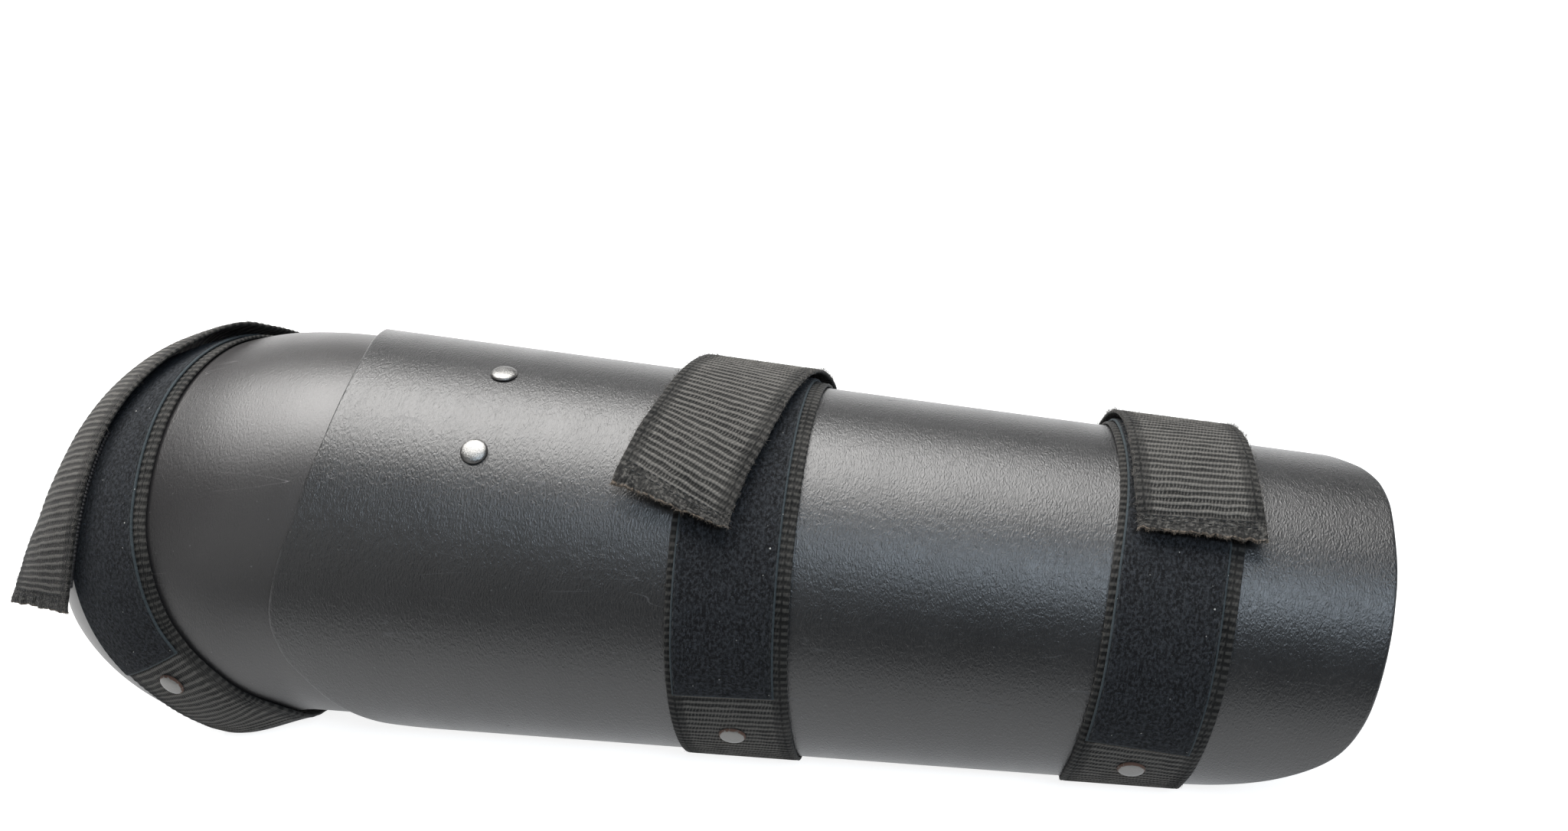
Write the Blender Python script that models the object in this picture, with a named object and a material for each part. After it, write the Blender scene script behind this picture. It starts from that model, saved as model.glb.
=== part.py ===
"""Hard-shell knee and shin guard: two overlapping plastic shells, foam liners, and three
webbing straps that close with hook-and-loop.

Frame: +X runs from the knee end to the ankle end, +Z is up over the crest of the shell, and the
guard lies open side down with its strap backs on z = 0.  Angles run round the shell from the
crest: 0 at the top, negative on the -Y side, positive on the +Y side.  Lengths are in metres.
"""
import math

import bmesh
import bpy
from mathutils import Matrix, Vector

for old in list(bpy.data.objects):
    bpy.data.objects.remove(old, do_unlink=True)

MM = 0.001
GAP = 0.3 * MM                     # air between parts that touch in use

# --- overall frame ---------------------------------------------------------------------------
SHIFT = Vector((63.7, -2.2, 0.0)) * MM       # puts the bounding box centre over the origin
SHIN_X0 = -200.0 * MM              # crest of the shin shell's knee-side edge, before the shift
SHIN_X1 = 233.0 * MM               # ankle edge
SHIN_R0, SHIN_R1 = 91.0 * MM, 72.0 * MM      # outer radius at those two stations
SHIN_ZC0, SHIN_ZC1 = 54.6 * MM, 43.2 * MM    # height of the section centre
SHIN_HALF_DEG = 121.0              # how far the section wraps each way from the crest
# trimmed ends of the shin shell as (angle, x): the knee side dips toward the knee on the flanks
# and both ends round off into the long edges
KNEE_TRIM = [(0, -200), (14, -201), (26, -204), (38, -207.5), (48, -212), (57, -215.5), (66, -217.5),
             (76, -215), (86, -208), (95, -202), (103, -196), (112, -187), (122, -165)]
ANKLE_TRIM = [(-122, 150), (-112, 176), (-100, 198), (-83, 218), (-72, 224), (-63, 227), (-48, 230),
              (-34, 232), (-15, 233.5), (5, 233.5), (17, 232), (28, 227.5), (38, 220), (55, 213), (83, 207),
              (100, 194), (112, 174), (122, 148)]
SHELL_T = 3.0 * MM

NOSE_XC, NOSE_RX, NOSE_RY, NOSE_ZC = -240.0 * MM, 120.0 * MM, 94.2 * MM, 40.6 * MM
NOSE_POWER = 2.2
KNEE_RIM_X = -333.0 * MM
KNEE_LAP_X = -112.0 * MM           # how far the knee shell tucks under the shin shell
LAP_DROP = 3.6 * MM                # knee shell sits this far under the shin shell's outer face
LAP_FADE = 46.0 * MM
KNEE_Z_LOW = 11.5 * MM
KNEE_HALF_DEG = 112.5

# --- soft parts ------------------------------------------------------------------------------
PAD_T = 6.0 * MM
WEB_T = 1.6 * MM
WEB_W = 50.0 * MM
LOOP_T, HOOK_T = 1.4 * MM, 1.2 * MM
BAND_OFF = GAP + WEB_T / 2
LOOP_OFF = GAP + WEB_T + GAP + LOOP_T / 2
HOOK_OFF = GAP + WEB_T + GAP + LOOP_T + 0.5 * MM + HOOK_T / 2
TAIL_OFF = HOOK_OFF + HOOK_T / 2 + GAP + WEB_T / 2
HINGE_GAP = 0.4 * MM

# --- rivets ----------------------------------------------------------------------------------
HEAD_R, HEAD_H = 5.75 * MM, 2.2 * MM
SHANK_R = 2.0 * MM
HOLE_R = SHANK_R + GAP
SHELL_RIVET_X, SHELL_RIVET_DEG = -137.2 * MM, 14.8

# name, centre line as (angle, x) on the near side, rivet angle, loop end angles (near, far),
# tail centre line as (angle, x), tail tip angle, tip cut skew
STRAPS = {
    "knee": dict(
        band=[(0, -303), (35, -300), (57, -293), (69, -286), (78, -277), (86, -267.5), (96, -258),
              (106, -250), (114, -248)],
        rivet=83.5, loop=(-78.0, 70.0), near_end=-111.6, far_end=96.0, hinge_deg=104.0,
        tail=[(-40, -330), (-30, -327), (-15, -322), (0, -316), (15, -310),
              (30, -304), (50, -297), (69, -287), (86, -268), (96, -258), (106, -250), (112, -248)],
        drape=[(-64, -311), (-46, -306.5), (-32, -304.5), (-15, -302.5), (-3, -299.5), (12, -293), (26, -284),
               (50, -272)],
        across=[(-64, (-39, 11, -26)), (-46, (-38.5, 11, -29)), (-32, (-38, 15, -31)),
                (-15, (-35, 15.5, -33)), (12, (-34, 17, -34)), (50, (-34, 17, -33))],
        tip=-62.0, skew=0.0),
    "calf": dict(
        band=[(0, -26.5), (60, -26.5), (114, -25.0)],
        rivet=94.5, loop=(-77.0, 78.0), near_end=-119.4, far_end=107.0, hinge_deg=112.0,
        tail=[(-27, -52.0), (-12, -47.5), (0, -42.0), (20, -35.5), (45, -30), (70, -27), (112, -25)],
        tip=-25.5, skew=-9.5),
    "ankle": dict(
        band=[(0, 150.5), (35, 147.5), (60, 145), (90, 140), (112, 137.0)],
        rivet=96.0, loop=(-84.0, 80.0), near_end=-119.4, far_end=107.0, hinge_deg=112.0,
        tail=[(-20, 156.5), (0, 154.5), (20, 152.5), (45, 149), (70, 145), (112, 137)],
        tip=-17.0, skew=-2.0),
}
FLOOR_LIFT = 0.8 * MM              # height of the webbing's middle layer where it lies on the floor


# --- small maths -----------------------------------------------------------------------------
def smooth(t):
    t = min(1.0, max(0.0, t))
    return t * t * (3 - 2 * t)


def curve_value(points, t):
    """Monotone cubic through a short table, flat at both ends of the table."""
    xs = [p[0] for p in points]
    ys = [p[1] for p in points]
    if t <= xs[0]:
        return ys[0]
    if t >= xs[-1]:
        return ys[-1]
    k = max(i for i in range(len(xs) - 1) if xs[i] <= t)
    slope = [(ys[i + 1] - ys[i]) / (xs[i + 1] - xs[i]) for i in range(len(xs) - 1)]

    def tangent(i):
        if i == 0 or i == len(xs) - 1 or slope[i - 1] * slope[i] <= 0:
            return 0.0
        return 2 * slope[i - 1] * slope[i] / (slope[i - 1] + slope[i])

    h = xs[k + 1] - xs[k]
    u = (t - xs[k]) / h
    return ((2 * u ** 3 - 3 * u ** 2 + 1) * ys[k] + (u ** 3 - 2 * u ** 2 + u) * h * tangent(k)
            + (-2 * u ** 3 + 3 * u ** 2) * ys[k + 1] + (u ** 3 - u ** 2) * h * tangent(k + 1))


# --- the two shell surfaces ------------------------------------------------------------------
def shin_axis(x):
    t = (x - SHIN_X0) / (SHIN_X1 - SHIN_X0)
    return SHIN_R0 + (SHIN_R1 - SHIN_R0) * t, SHIN_ZC0 + (SHIN_ZC1 - SHIN_ZC0) * t


def shin_point(x, a):
    r, zc = shin_axis(x)
    return Vector((x, r * math.sin(a), zc + r * math.cos(a)))


def shin_edge_x(a):
    return curve_value(KNEE_TRIM, abs(math.degrees(a))) * MM


def knee_axis(x, a):
    r_lap, z_lap = shin_axis(x)
    reach = min(0.985, max(0.0, (NOSE_XC - x) / NOSE_RX))
    r_nose = NOSE_RY * (1 - reach ** NOSE_POWER) ** (1 / NOSE_POWER)
    lap_edge = curve_value(KNEE_TRIM, min(66.0, abs(math.degrees(a)))) * MM
    w = smooth(1 + (x - lap_edge) / LAP_FADE)
    return (r_lap - LAP_DROP) * w + r_nose * (1 - w), z_lap * w + NOSE_ZC * (1 - w)


def knee_point(x, a):
    r, zc = knee_axis(x, a)
    return Vector((x, r * math.sin(a), zc + r * math.cos(a)))


def normal_at(surface, x, a):
    dx, da = 0.5 * MM, 0.004
    n = (surface(x + dx, a) - surface(x - dx, a)).cross(surface(x, a + da) - surface(x, a - da))
    n.normalize()
    radial = Vector((0, math.sin(a), math.cos(a)))
    return n if n.dot(radial) > 0 else -n


# --- mesh helpers ----------------------------------------------------------------------------
def make_object(name, bm, material):
    bmesh.ops.recalc_face_normals(bm, faces=bm.faces)
    mesh = bpy.data.meshes.new(name)
    bm.to_mesh(mesh)
    bm.free()
    for poly in mesh.polygons:
        poly.use_smooth = True
    mesh.materials.append(material)
    obj = bpy.data.objects.new(name, mesh)
    bpy.context.scene.collection.objects.link(obj)
    obj.location = SHIFT
    return obj


def make_material(name, colour, roughness, metallic=0.0):
    mat = bpy.data.materials.new(name)
    mat.use_nodes = True
    bsdf = mat.node_tree.nodes["Principled BSDF"]
    bsdf.inputs["Base Color"].default_value = (*colour, 1)
    bsdf.inputs["Roughness"].default_value = roughness
    bsdf.inputs["Metallic"].default_value = metallic
    return mat


def slab(name, top, bottom, material):
    """Closed body between two grids of points with the same layout."""
    bm = bmesh.new()
    rows, cols = len(top), len(top[0])
    up = [[bm.verts.new(p) for p in row] for row in top]
    lo = [[bm.verts.new(p) for p in row] for row in bottom]
    for i in range(rows - 1):
        for j in range(cols - 1):
            bm.faces.new((up[i][j], up[i + 1][j], up[i + 1][j + 1], up[i][j + 1]))
            bm.faces.new((lo[i][j], lo[i][j + 1], lo[i + 1][j + 1], lo[i + 1][j]))
    loop = ([(i, 0) for i in range(rows)] + [(rows - 1, j) for j in range(1, cols)]
            + [(i, cols - 1) for i in range(rows - 2, -1, -1)] + [(0, j) for j in range(cols - 2, 0, -1)])
    for (i, j), (k, m) in zip(loop, loop[1:] + loop[:1]):
        bm.faces.new((up[i][j], up[k][m], lo[k][m], lo[i][j]))
    return make_object(name, bm, material)


def lathe(name, profile, place, material, segments=16):
    """Closed turned body; the profile runs from axis to axis as (radius, height)."""
    bm = bmesh.new()
    rings = []
    for r, h in profile:
        if r == 0:
            rings.append([bm.verts.new((0, 0, h))])
        else:
            rings.append([bm.verts.new((r * math.cos(2 * math.pi * k / segments),
                                        r * math.sin(2 * math.pi * k / segments), h))
                          for k in range(segments)])
    for low, high in zip(rings, rings[1:] + ([rings[0]] if profile[0][0] else [])):
        for k in range(segments):
            quad = [low[k % len(low)], low[(k + 1) % len(low)], high[(k + 1) % len(high)],
                    high[k % len(high)]]
            unique = list(dict.fromkeys(quad))
            if len(unique) > 2:
                bm.faces.new(unique)
    bmesh.ops.transform(bm, matrix=place, verts=bm.verts)
    return make_object(name, bm, material)


def offset_grid(surface, grid, distance):
    return [[surface(x, a) + normal_at(surface, x, a) * distance for x, a in row] for row in grid]


# --- shells and liners -----------------------------------------------------------------------
def corner(d, depth, inset):
    """How much a sheet's half width shrinks at a distance d from its end."""
    if d >= depth:
        return 0.0
    return inset * (1 - math.sqrt(max(0.0, 1 - (1 - d / depth) ** 2)))


def end_spaced(n, power=1.6):
    """0..1 stations crowded toward both ends."""
    out = []
    for k in range(n):
        t = 2 * k / (n - 1) - 1
        out.append(0.5 + 0.5 * math.copysign(1 - (1 - abs(t)) ** power, t))
    return out


def shin_grid(n_t=12, n_s=37):
    rows = []
    for t in end_spaced(n_t):
        row = []
        for k in range(n_s):
            a = math.radians(SHIN_HALF_DEG) * (2 * k / (n_s - 1) - 1)
            start, end = shin_edge_x(a), curve_value(ANKLE_TRIM, math.degrees(a)) * MM
            row.append((start + (end - start) * t, a))
        rows.append(row)
    return rows


def pad_grid(x0, x1, half_deg, n_t=8, n_s=19, round_off=20 * MM):
    rows = []
    for t in end_spaced(n_t):
        d = min(t, 1 - t) * (x1 - x0)
        half = math.radians(half_deg) - corner(d, round_off, round_off) / SHIN_R0
        rows.append([(x0 + (x1 - x0) * t, half * (2 * k / (n_s - 1) - 1)) for k in range(n_s)])
    return rows


def knee_grid(n_t=21, n_s=37):
    rows = []
    for t in end_spaced(n_t, 1.45):
        x = KNEE_RIM_X + (KNEE_LAP_X - KNEE_RIM_X) * t
        r, zc = knee_axis(x, math.radians(100))
        half = min(math.acos(-(zc - KNEE_Z_LOW) / r), math.radians(KNEE_HALF_DEG))
        half -= corner(x - KNEE_RIM_X, 30 * MM, 26 * MM) / r
        rows.append([(x, half * (2 * k / (n_s - 1) - 1)) for k in range(n_s)])
    return rows


PLASTIC = make_material("grained shin plastic", (0.030, 0.030, 0.032), 0.42)
PLASTIC_KNEE = make_material("satin knee plastic", (0.034, 0.033, 0.035), 0.38)
FOAM = make_material("closed cell foam", (0.045, 0.045, 0.048), 0.9)
WEBBING = make_material("polypropylene webbing", (0.028, 0.026, 0.024), 0.85)
LOOP = make_material("loop tape", (0.014, 0.016, 0.022), 0.95)
HOOK = make_material("hook tape", (0.012, 0.012, 0.014), 0.7)
NICKEL = make_material("nickel plate", (0.72, 0.70, 0.67), 0.22, 1.0)

grid = shin_grid()
shin_shell = slab("shin_shell", offset_grid(shin_point, grid, 0), offset_grid(shin_point, grid, -SHELL_T),
                  PLASTIC)
grid = knee_grid()
knee_shell = slab("knee_shell", offset_grid(knee_point, grid, 0), offset_grid(knee_point, grid, -SHELL_T),
                  PLASTIC_KNEE)

pad_top = -(SHELL_T + 0.6 * MM)
grid = pad_grid(-104 * MM, 200 * MM, 82.0)
shin_pad = slab("shin_pad", offset_grid(shin_point, grid, pad_top),
                offset_grid(shin_point, grid, pad_top - PAD_T), FOAM)
grid = pad_grid(KNEE_RIM_X + 10 * MM, -152 * MM, 70.0, n_t=17)
knee_pad = slab("knee_pad", offset_grid(knee_point, grid, pad_top),
                offset_grid(knee_point, grid, pad_top - PAD_T), FOAM)


# --- straps ----------------------------------------------------------------------------------
def strap_surface(name):
    return knee_point if name == "knee" else shin_point


def axis_height(name, x, a):
    return (knee_axis(x, a) if name == "knee" else shin_axis(x))[1]


def ribbon(name, centre, angles, width, offset, columns, skews=None, shift=0.0):
    """Rows of (point, normal) for a tape laid on the shell along centre(angle) -> x."""
    surface = strap_surface(name)
    rows = []
    for k, deg in enumerate(angles):
        a = math.radians(deg)
        mid = surface(centre(deg), a)
        ahead = surface(centre(deg + 1.5), math.radians(deg + 1.5))
        behind = surface(centre(deg - 1.5), math.radians(deg - 1.5))
        along = (ahead - behind).normalized()
        n = normal_at(surface, centre(deg), a)
        across = along.cross(n).normalized()
        if across.x < 0:
            across.negate()
        row = []
        for j in range(columns):
            w = width * (j / (columns - 1) - 0.5) + shift
            q = mid + across * w
            if skews is not None:
                q = q + along * (skews[k] * w / WEB_W)
            a2 = math.atan2(q.y, q.z - axis_height(name, q.x, a))
            m = normal_at(surface, q.x, a2)
            row.append((surface(q.x, a2) + m * offset, m))
        rows.append(row)
    return rows


def draped(rows, name, angles, inner, across, offset, begin, end):
    """Bend a laid tape's rows so its knee-side half droops over the rim.

    inner gives the x of the edge that stays on the shell, across the direction of the other edge.
    """
    surface = strap_surface(name)
    out = []
    for deg, row in zip(angles, rows):
        a = math.radians(deg)
        x = curve_value(inner, deg) * MM
        n = normal_at(surface, x, a)
        edge = surface(x, a) + n * offset
        away = Vector([curve_value([(d, v[i]) for d, v in across], deg) for i in range(3)]).normalized()
        width = (row[-1][0] - row[0][0]).length
        tangent = (away - n * away.dot(n)).normalized()
        weight = smooth((begin - deg) / (begin - end))
        bent = []
        for j, (p, m) in enumerate(row):
            u = 1 - j / (len(row) - 1)
            q = edge + (away * u + (tangent - away) * u * (1 - u)) * width
            slope = away + (tangent - away) * (1 - 2 * u)
            bent.append((p.lerp(q, weight), m.lerp((n - slope * (n.dot(slope) / slope.length_squared)),
                                                   weight).normalized()))
        out.append(bent)
    return out


def spread(lo, hi, step):
    n = max(2, round(abs(hi - lo) / step))
    return [lo + (hi - lo) * k / n for k in range(n + 1)]


def tape(name, rows, thickness, material):
    top = [[p + n * (thickness / 2) for p, n in row] for row in rows]
    low = [[p - n * (thickness / 2) for p, n in row] for row in rows]
    return slab(name, top, low, material)


def floor_arc(row, beyond, steps):
    """Rows that continue a tape from its last row down to the floor in one even bend."""
    out = [[] for _ in range(steps)]
    for (p, n), (q, _) in zip(row, beyond):
        heading = (p - q).normalized()
        flat = Vector((heading.x, heading.y, 0))
        phi0 = math.atan2(-heading.z, flat.length)
        flat.normalize()
        drop = p.z - FLOOR_LIFT
        radius = drop / (1 - math.cos(phi0))
        for k in range(steps):
            phi = phi0 * (1 - (k + 1) / steps)
            run = radius * (math.sin(phi0) - math.sin(phi))
            fall = radius * (math.cos(phi) - math.cos(phi0))
            pos = p + flat * run - Vector((0, 0, fall))
            outward = Vector((0, 0, -math.cos(phi))) - flat * math.sin(phi)
            out[k].append((pos, outward))
    return out


strap_objects = {}
hinges = {}
for name, spec in STRAPS.items():
    band_line = lambda d, s=spec: curve_value(s["band"], abs(d)) * MM
    tail_line = lambda d, s=spec: curve_value(s["tail"], d) * MM
    near_r = strap_surface(name)(band_line(spec["near_end"]), math.radians(spec["near_end"]))
    radius = math.hypot(near_r.y, near_r.z - axis_height(name, band_line(spec["near_end"]),
                                                        math.radians(spec["near_end"])))
    slit = math.degrees(HINGE_GAP / radius)

    # the knee shell curves both ways, so its tapes are finer and ride a little higher
    cols, step, ride = (8, 4.6, 0.3 * MM) if name == "knee" else (4, 6.0, 0.0)
    band_off, tail_off = BAND_OFF + ride, TAIL_OFF + ride
    band_angles = spread(spec["near_end"], spec["far_end"], step)
    band = tape(name + "_band", ribbon(name, band_line, band_angles, WEB_W, band_off, cols), WEB_T, WEBBING)
    loop_angles = [d for d in band_angles if spec["loop"][0] <= d <= spec["loop"][1]]
    loop = tape(name + "_loop_tape", ribbon(name, band_line, loop_angles, WEB_W - 8 * MM, LOOP_OFF + ride, cols,
                                            shift=-1.5 * MM), LOOP_T, LOOP)

    # the tail lies over the far flank and the crest, its tip cut on a slant
    tail_angles = spread(spec["hinge_deg"], spec["tip"], step)
    skews = [spec["skew"] * MM * smooth(1 - (d - spec["tip"]) / 30.0) for d in tail_angles]
    tail_rows = ribbon(name, tail_line, tail_angles, WEB_W, tail_off, cols, skews)
    if "drape" in spec:
        tail_rows = draped(tail_rows, name, tail_angles, spec["drape"], spec["across"], tail_off + 2.8 * MM, 56,
                            30)
    tail = tape(name + "_tail", tail_rows, WEB_T, WEBBING)
    if "drape" in spec:                 # only the half that lies over the band carries hooks
        hook_line = lambda d, s=spec: (curve_value(s["drape"], d) - 11.5) * MM
        hook_rows = ribbon(name, hook_line, tail_angles[-12:-1], 17 * MM, HOOK_OFF + ride, cols // 2)
    else:
        hook_rows = ribbon(name, tail_line, tail_angles[-10:-1], WEB_W - 9 * MM, HOOK_OFF, 4, skews[-10:-1])
    hook = tape(name + "_hook_patch", hook_rows, HOOK_T, HOOK)

    # the back runs from the near edge, under the leg, and up to the far hinge
    near_deg = spec["near_end"] - slit
    first = ribbon(name, band_line, [near_deg + 1.2, near_deg], WEB_W, band_off, cols)
    near_rows = [first[1]] + floor_arc(first[1], first[0], 6)
    far_deg = spec["hinge_deg"] + slit
    last = ribbon(name, tail_line, [far_deg - 1.2, far_deg], WEB_W, tail_off, cols)
    far_rows = [last[1]] + floor_arc(last[1], last[0], 7)
    flat_rows = []
    start, stop = near_rows[-1], far_rows[-1]
    for k in range(1, 5):
        u = k / 5
        flat_rows.append([(p.lerp(q, u), Vector((0, 0, -1))) for (p, _), (q, _) in zip(start, stop)])
    back = tape(name + "_back", near_rows + flat_rows + far_rows[::-1], WEB_T, WEBBING)

    def hinge_line(lo_deg, hi_deg, line, offset):
        """Middle and direction of the line that clears the tape's outer face across its width."""
        row = ribbon(name, line, [0.5 * (lo_deg + hi_deg)], WEB_W, offset + WEB_T / 2, cols)[0]
        a, b = row[0][0], row[-1][0]
        out = (row[0][1] + row[-1][1]).normalized()
        bulge = max((p - a.lerp(b, j / (len(row) - 1))).dot(out) for j, (p, _) in enumerate(row))
        return (a + b) / 2 + out * bulge, (b - a).normalized()

    hinges[name] = hinge_line(spec["hinge_deg"], far_deg, tail_line, tail_off)
    strap_objects[name] = (band, loop, tail, hook, back)


# --- rivets ----------------------------------------------------------------------------------
def placed(origin, n):
    rot = n.to_track_quat("Z", "Y").to_matrix().to_4x4()
    return Matrix.Translation(origin) @ rot


def rivet_pair(name, surface, x, a, above, below):
    """A domed rivet through everything between above and below, and its burr inside."""
    n = normal_at(surface, x, a)
    place = placed(surface(x, a), n)
    base = above + GAP
    dome = [(HEAD_R, base), (HEAD_R, base + 0.5 * MM), (HEAD_R * 0.86, base + 1.25 * MM),
            (HEAD_R * 0.6, base + 1.85 * MM), (HEAD_R * 0.3, base + 2.12 * MM), (0, base + HEAD_H)]
    burr_top, burr_t = below - 0.55 * MM, 1.0 * MM
    clench = burr_top - burr_t - GAP
    profile = ([(0, clench - 1.0 * MM), (3.1 * MM, clench - 0.7 * MM), (3.3 * MM, clench), (SHANK_R, clench),
                (SHANK_R, base)] + dome)
    rivet = lathe(name, profile, place, NICKEL)
    burr = lathe(name + "_burr", [(HOLE_R, burr_top), (5.0 * MM, burr_top), (5.0 * MM, burr_top - burr_t),
                                  (HOLE_R, burr_top - burr_t)], place, NICKEL)
    return place


def drill(targets, place):
    bm = bmesh.new()
    bmesh.ops.create_cone(bm, cap_ends=True, segments=16, radius1=HOLE_R, radius2=HOLE_R, depth=24 * MM)
    bmesh.ops.transform(bm, matrix=place, verts=bm.verts)
    cutter = make_object("cutter", bm, NICKEL)
    for target in targets:
        mod = target.modifiers.new("hole", "BOOLEAN")
        mod.operation, mod.solver, mod.object = "DIFFERENCE", "EXACT", cutter
        bpy.context.view_layer.update()
        deps = bpy.context.evaluated_depsgraph_get()
        cut = bpy.data.meshes.new_from_object(target.evaluated_get(deps))
        target.modifiers.clear()
        target.data = cut
    bpy.data.objects.remove(cutter, do_unlink=True)


for side, sign in (("near", -1), ("far", 1)):
    a = sign * math.radians(SHELL_RIVET_DEG)
    place = rivet_pair("shell_rivet_" + side, shin_point, SHELL_RIVET_X, a, 0,
                       -(LAP_DROP + SHELL_T))
    drill([shin_shell, knee_shell], place)
    for name, spec in STRAPS.items():
        a = sign * math.radians(spec["rivet"])
        x = curve_value(spec["band"], spec["rivet"]) * MM
        place = rivet_pair(f"{name}_rivet_{side}", strap_surface(name), x, a,
                           GAP + WEB_T + (0.3 * MM if name == "knee" else 0), -SHELL_T)
        drill([knee_shell if name == "knee" else shin_shell, strap_objects[name][0]], place)

# --- moving pieces turn about their hinge lines ----------------------------------------------
for name, (pivot, direction) in hinges.items():
    band, loop, tail, hook, back = strap_objects[name]
    for obj in (tail, hook):
        obj.data.transform(Matrix.Translation(-pivot))
        obj.location = pivot + SHIFT
    print(f"{name}: pivot {[round(c, 5) for c in pivot + SHIFT]} axis "
          f"{[round(c, 5) for c in direction]}")
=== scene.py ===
# %% [markdown]
# # The looks of a hard-shell shin guard
# The guard is two plastic shells riveted together, with three webbing straps that close with
# hook-and-loop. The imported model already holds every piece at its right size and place, as plain
# facets. This lesson dresses it: each cell says what a piece is on the real guard, then builds it.

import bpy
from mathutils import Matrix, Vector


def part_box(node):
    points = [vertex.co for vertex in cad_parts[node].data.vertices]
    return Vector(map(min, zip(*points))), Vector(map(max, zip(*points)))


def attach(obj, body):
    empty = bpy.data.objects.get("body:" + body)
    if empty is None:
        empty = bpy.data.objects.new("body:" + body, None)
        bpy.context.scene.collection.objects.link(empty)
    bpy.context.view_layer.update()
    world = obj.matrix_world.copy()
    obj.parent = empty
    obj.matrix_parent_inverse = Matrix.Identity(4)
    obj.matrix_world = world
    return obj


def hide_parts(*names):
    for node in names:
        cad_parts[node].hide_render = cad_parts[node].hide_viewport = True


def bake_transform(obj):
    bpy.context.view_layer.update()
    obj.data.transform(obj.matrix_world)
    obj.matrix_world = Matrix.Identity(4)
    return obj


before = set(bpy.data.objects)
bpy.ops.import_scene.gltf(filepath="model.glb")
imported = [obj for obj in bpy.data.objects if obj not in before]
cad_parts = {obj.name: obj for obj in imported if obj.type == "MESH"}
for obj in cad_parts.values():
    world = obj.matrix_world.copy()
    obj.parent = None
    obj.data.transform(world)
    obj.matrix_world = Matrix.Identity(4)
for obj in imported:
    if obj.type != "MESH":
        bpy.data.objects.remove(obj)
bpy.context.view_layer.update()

# %% Other modules and the unit
import math

import bpy
import numpy as np
from mathutils import Matrix, Vector

MM = 0.001

# %% [markdown]
# ## The view
# The camera looks down at the guard from the near side, a little toward the ankle, and is rolled so
# that the guard lies almost level.  A camera's own axes are right, up and back, so its rotation is
# built from the view direction and the roll.

# %% Camera
VIEW_FROM = Vector((0.14338, -0.67455, 0.72417))      # from the point looked at toward the camera
LOOK_AT = Vector((0.0530, -0.0022, 0.1499))
DISTANCE = 0.6194
ROLL = math.radians(-4.5)

camera_data = bpy.data.cameras.new("camera")
camera_data.sensor_width, camera_data.lens = 36.0, 35.16
camera = bpy.data.objects.new("camera", camera_data)
bpy.context.scene.collection.objects.link(camera)
back = VIEW_FROM.normalized()
level = (-back).cross(Vector((0, 0, 1))).normalized()
up = level.cross(-back)
right = level * math.cos(ROLL) + up * math.sin(ROLL)
camera.matrix_world = Matrix.Translation(LOOK_AT + back * DISTANCE) @ Matrix(
    (right, back.cross(right), back)).transposed().to_4x4()
bpy.context.scene.camera = camera
bpy.context.scene.view_settings.view_transform = "Standard"
print("camera at", [round(c, 3) for c in camera.location])

# %% [markdown]
# ## Floor and light
# The guard lies on a plain white ground under soft boxes.  Dark glossy plastic shows little of its own
# colour: what the eye reads is the reflection of the boxes, so they are placed for their reflections.
# A warm box overhead and slightly behind makes the broad highlight along the crest, a cooler and
# narrower one above the viewer makes the second band lower on the near flank, and a dim one beside the
# knee lifts its dome out of black.  The ground glows a little, so it stays white beside the guard.

# %% Floor, sky and soft boxes
FLOOR_HALF, FLOOR_Z = 12.0, -0.0006                    # the floor lies just below the straps
CORNERS = ((-1, -1), (1, -1), (1, 1), (-1, 1))

ground = bpy.data.materials.new("white ground")
ground.use_nodes = True
surface = ground.node_tree.nodes["Principled BSDF"].inputs
surface["Base Color"].default_value = (0.3, 0.3, 0.3, 1)
surface["Roughness"].default_value = 0.9
surface["Emission Color"].default_value = (1.0, 1.0, 1.0, 1)
surface["Emission Strength"].default_value = 0.85

floor_mesh = bpy.data.meshes.new("floor")
floor_mesh.from_pydata([(x * FLOOR_HALF, y * FLOOR_HALF, FLOOR_Z) for x, y in CORNERS], [], [(0, 1, 2, 3)])
floor_mesh.materials.append(ground)
floor = bpy.data.objects.new("floor", floor_mesh)
bpy.context.scene.collection.objects.link(floor)


def soft_box(name, centre, size, colour, radiance):
    """A rectangular light that faces the guard's long axis squarely; size along it and across it."""
    data = bpy.data.lights.new(name, "AREA")
    data.shape, data.size, data.size_y = "RECTANGLE", *size
    data.color = colour
    data.energy = radiance * math.pi * size[0] * size[1]
    lamp = bpy.data.objects.new(name, data)
    lamp.visible_camera = False
    along, away = Vector((1, 0, 0)), Vector((0, centre[1], centre[2])).normalized()
    lamp.matrix_world = Matrix.Translation(centre) @ Matrix(
        (along, away.cross(along), away)).transposed().to_4x4()
    bpy.context.scene.collection.objects.link(lamp)


soft_box("warm overhead box", (-0.45, 0.63, 1.13), (1.8, 1.10), (1.0, 0.985, 0.965), 13.5)
soft_box("cool viewer side box", (0.60, -0.47, 1.16), (1.1, 0.30), (0.76, 0.88, 1.0), 15.0)
soft_box("dim knee side box", (-0.95, -0.90, 0.75), (1.5, 1.0), (1.0, 0.99, 0.97), 1.1)

sky = bpy.data.worlds.new("sky")
sky.use_nodes = True
sky.node_tree.nodes["Background"].inputs["Color"].default_value = (0.86, 0.93, 1.0, 1)
sky.node_tree.nodes["Background"].inputs["Strength"].default_value = 0.06
bpy.context.scene.world = sky
print("lights:", len(bpy.data.lights))

# %% [markdown]
# ## A short way to write materials
# A material is a graph of nodes.  Written link by link it is hard to read, so one small class wraps a
# socket and lets ordinary arithmetic add the Math nodes, and one method adds any other node: its
# settings first, then the values or links of its sockets.


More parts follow.
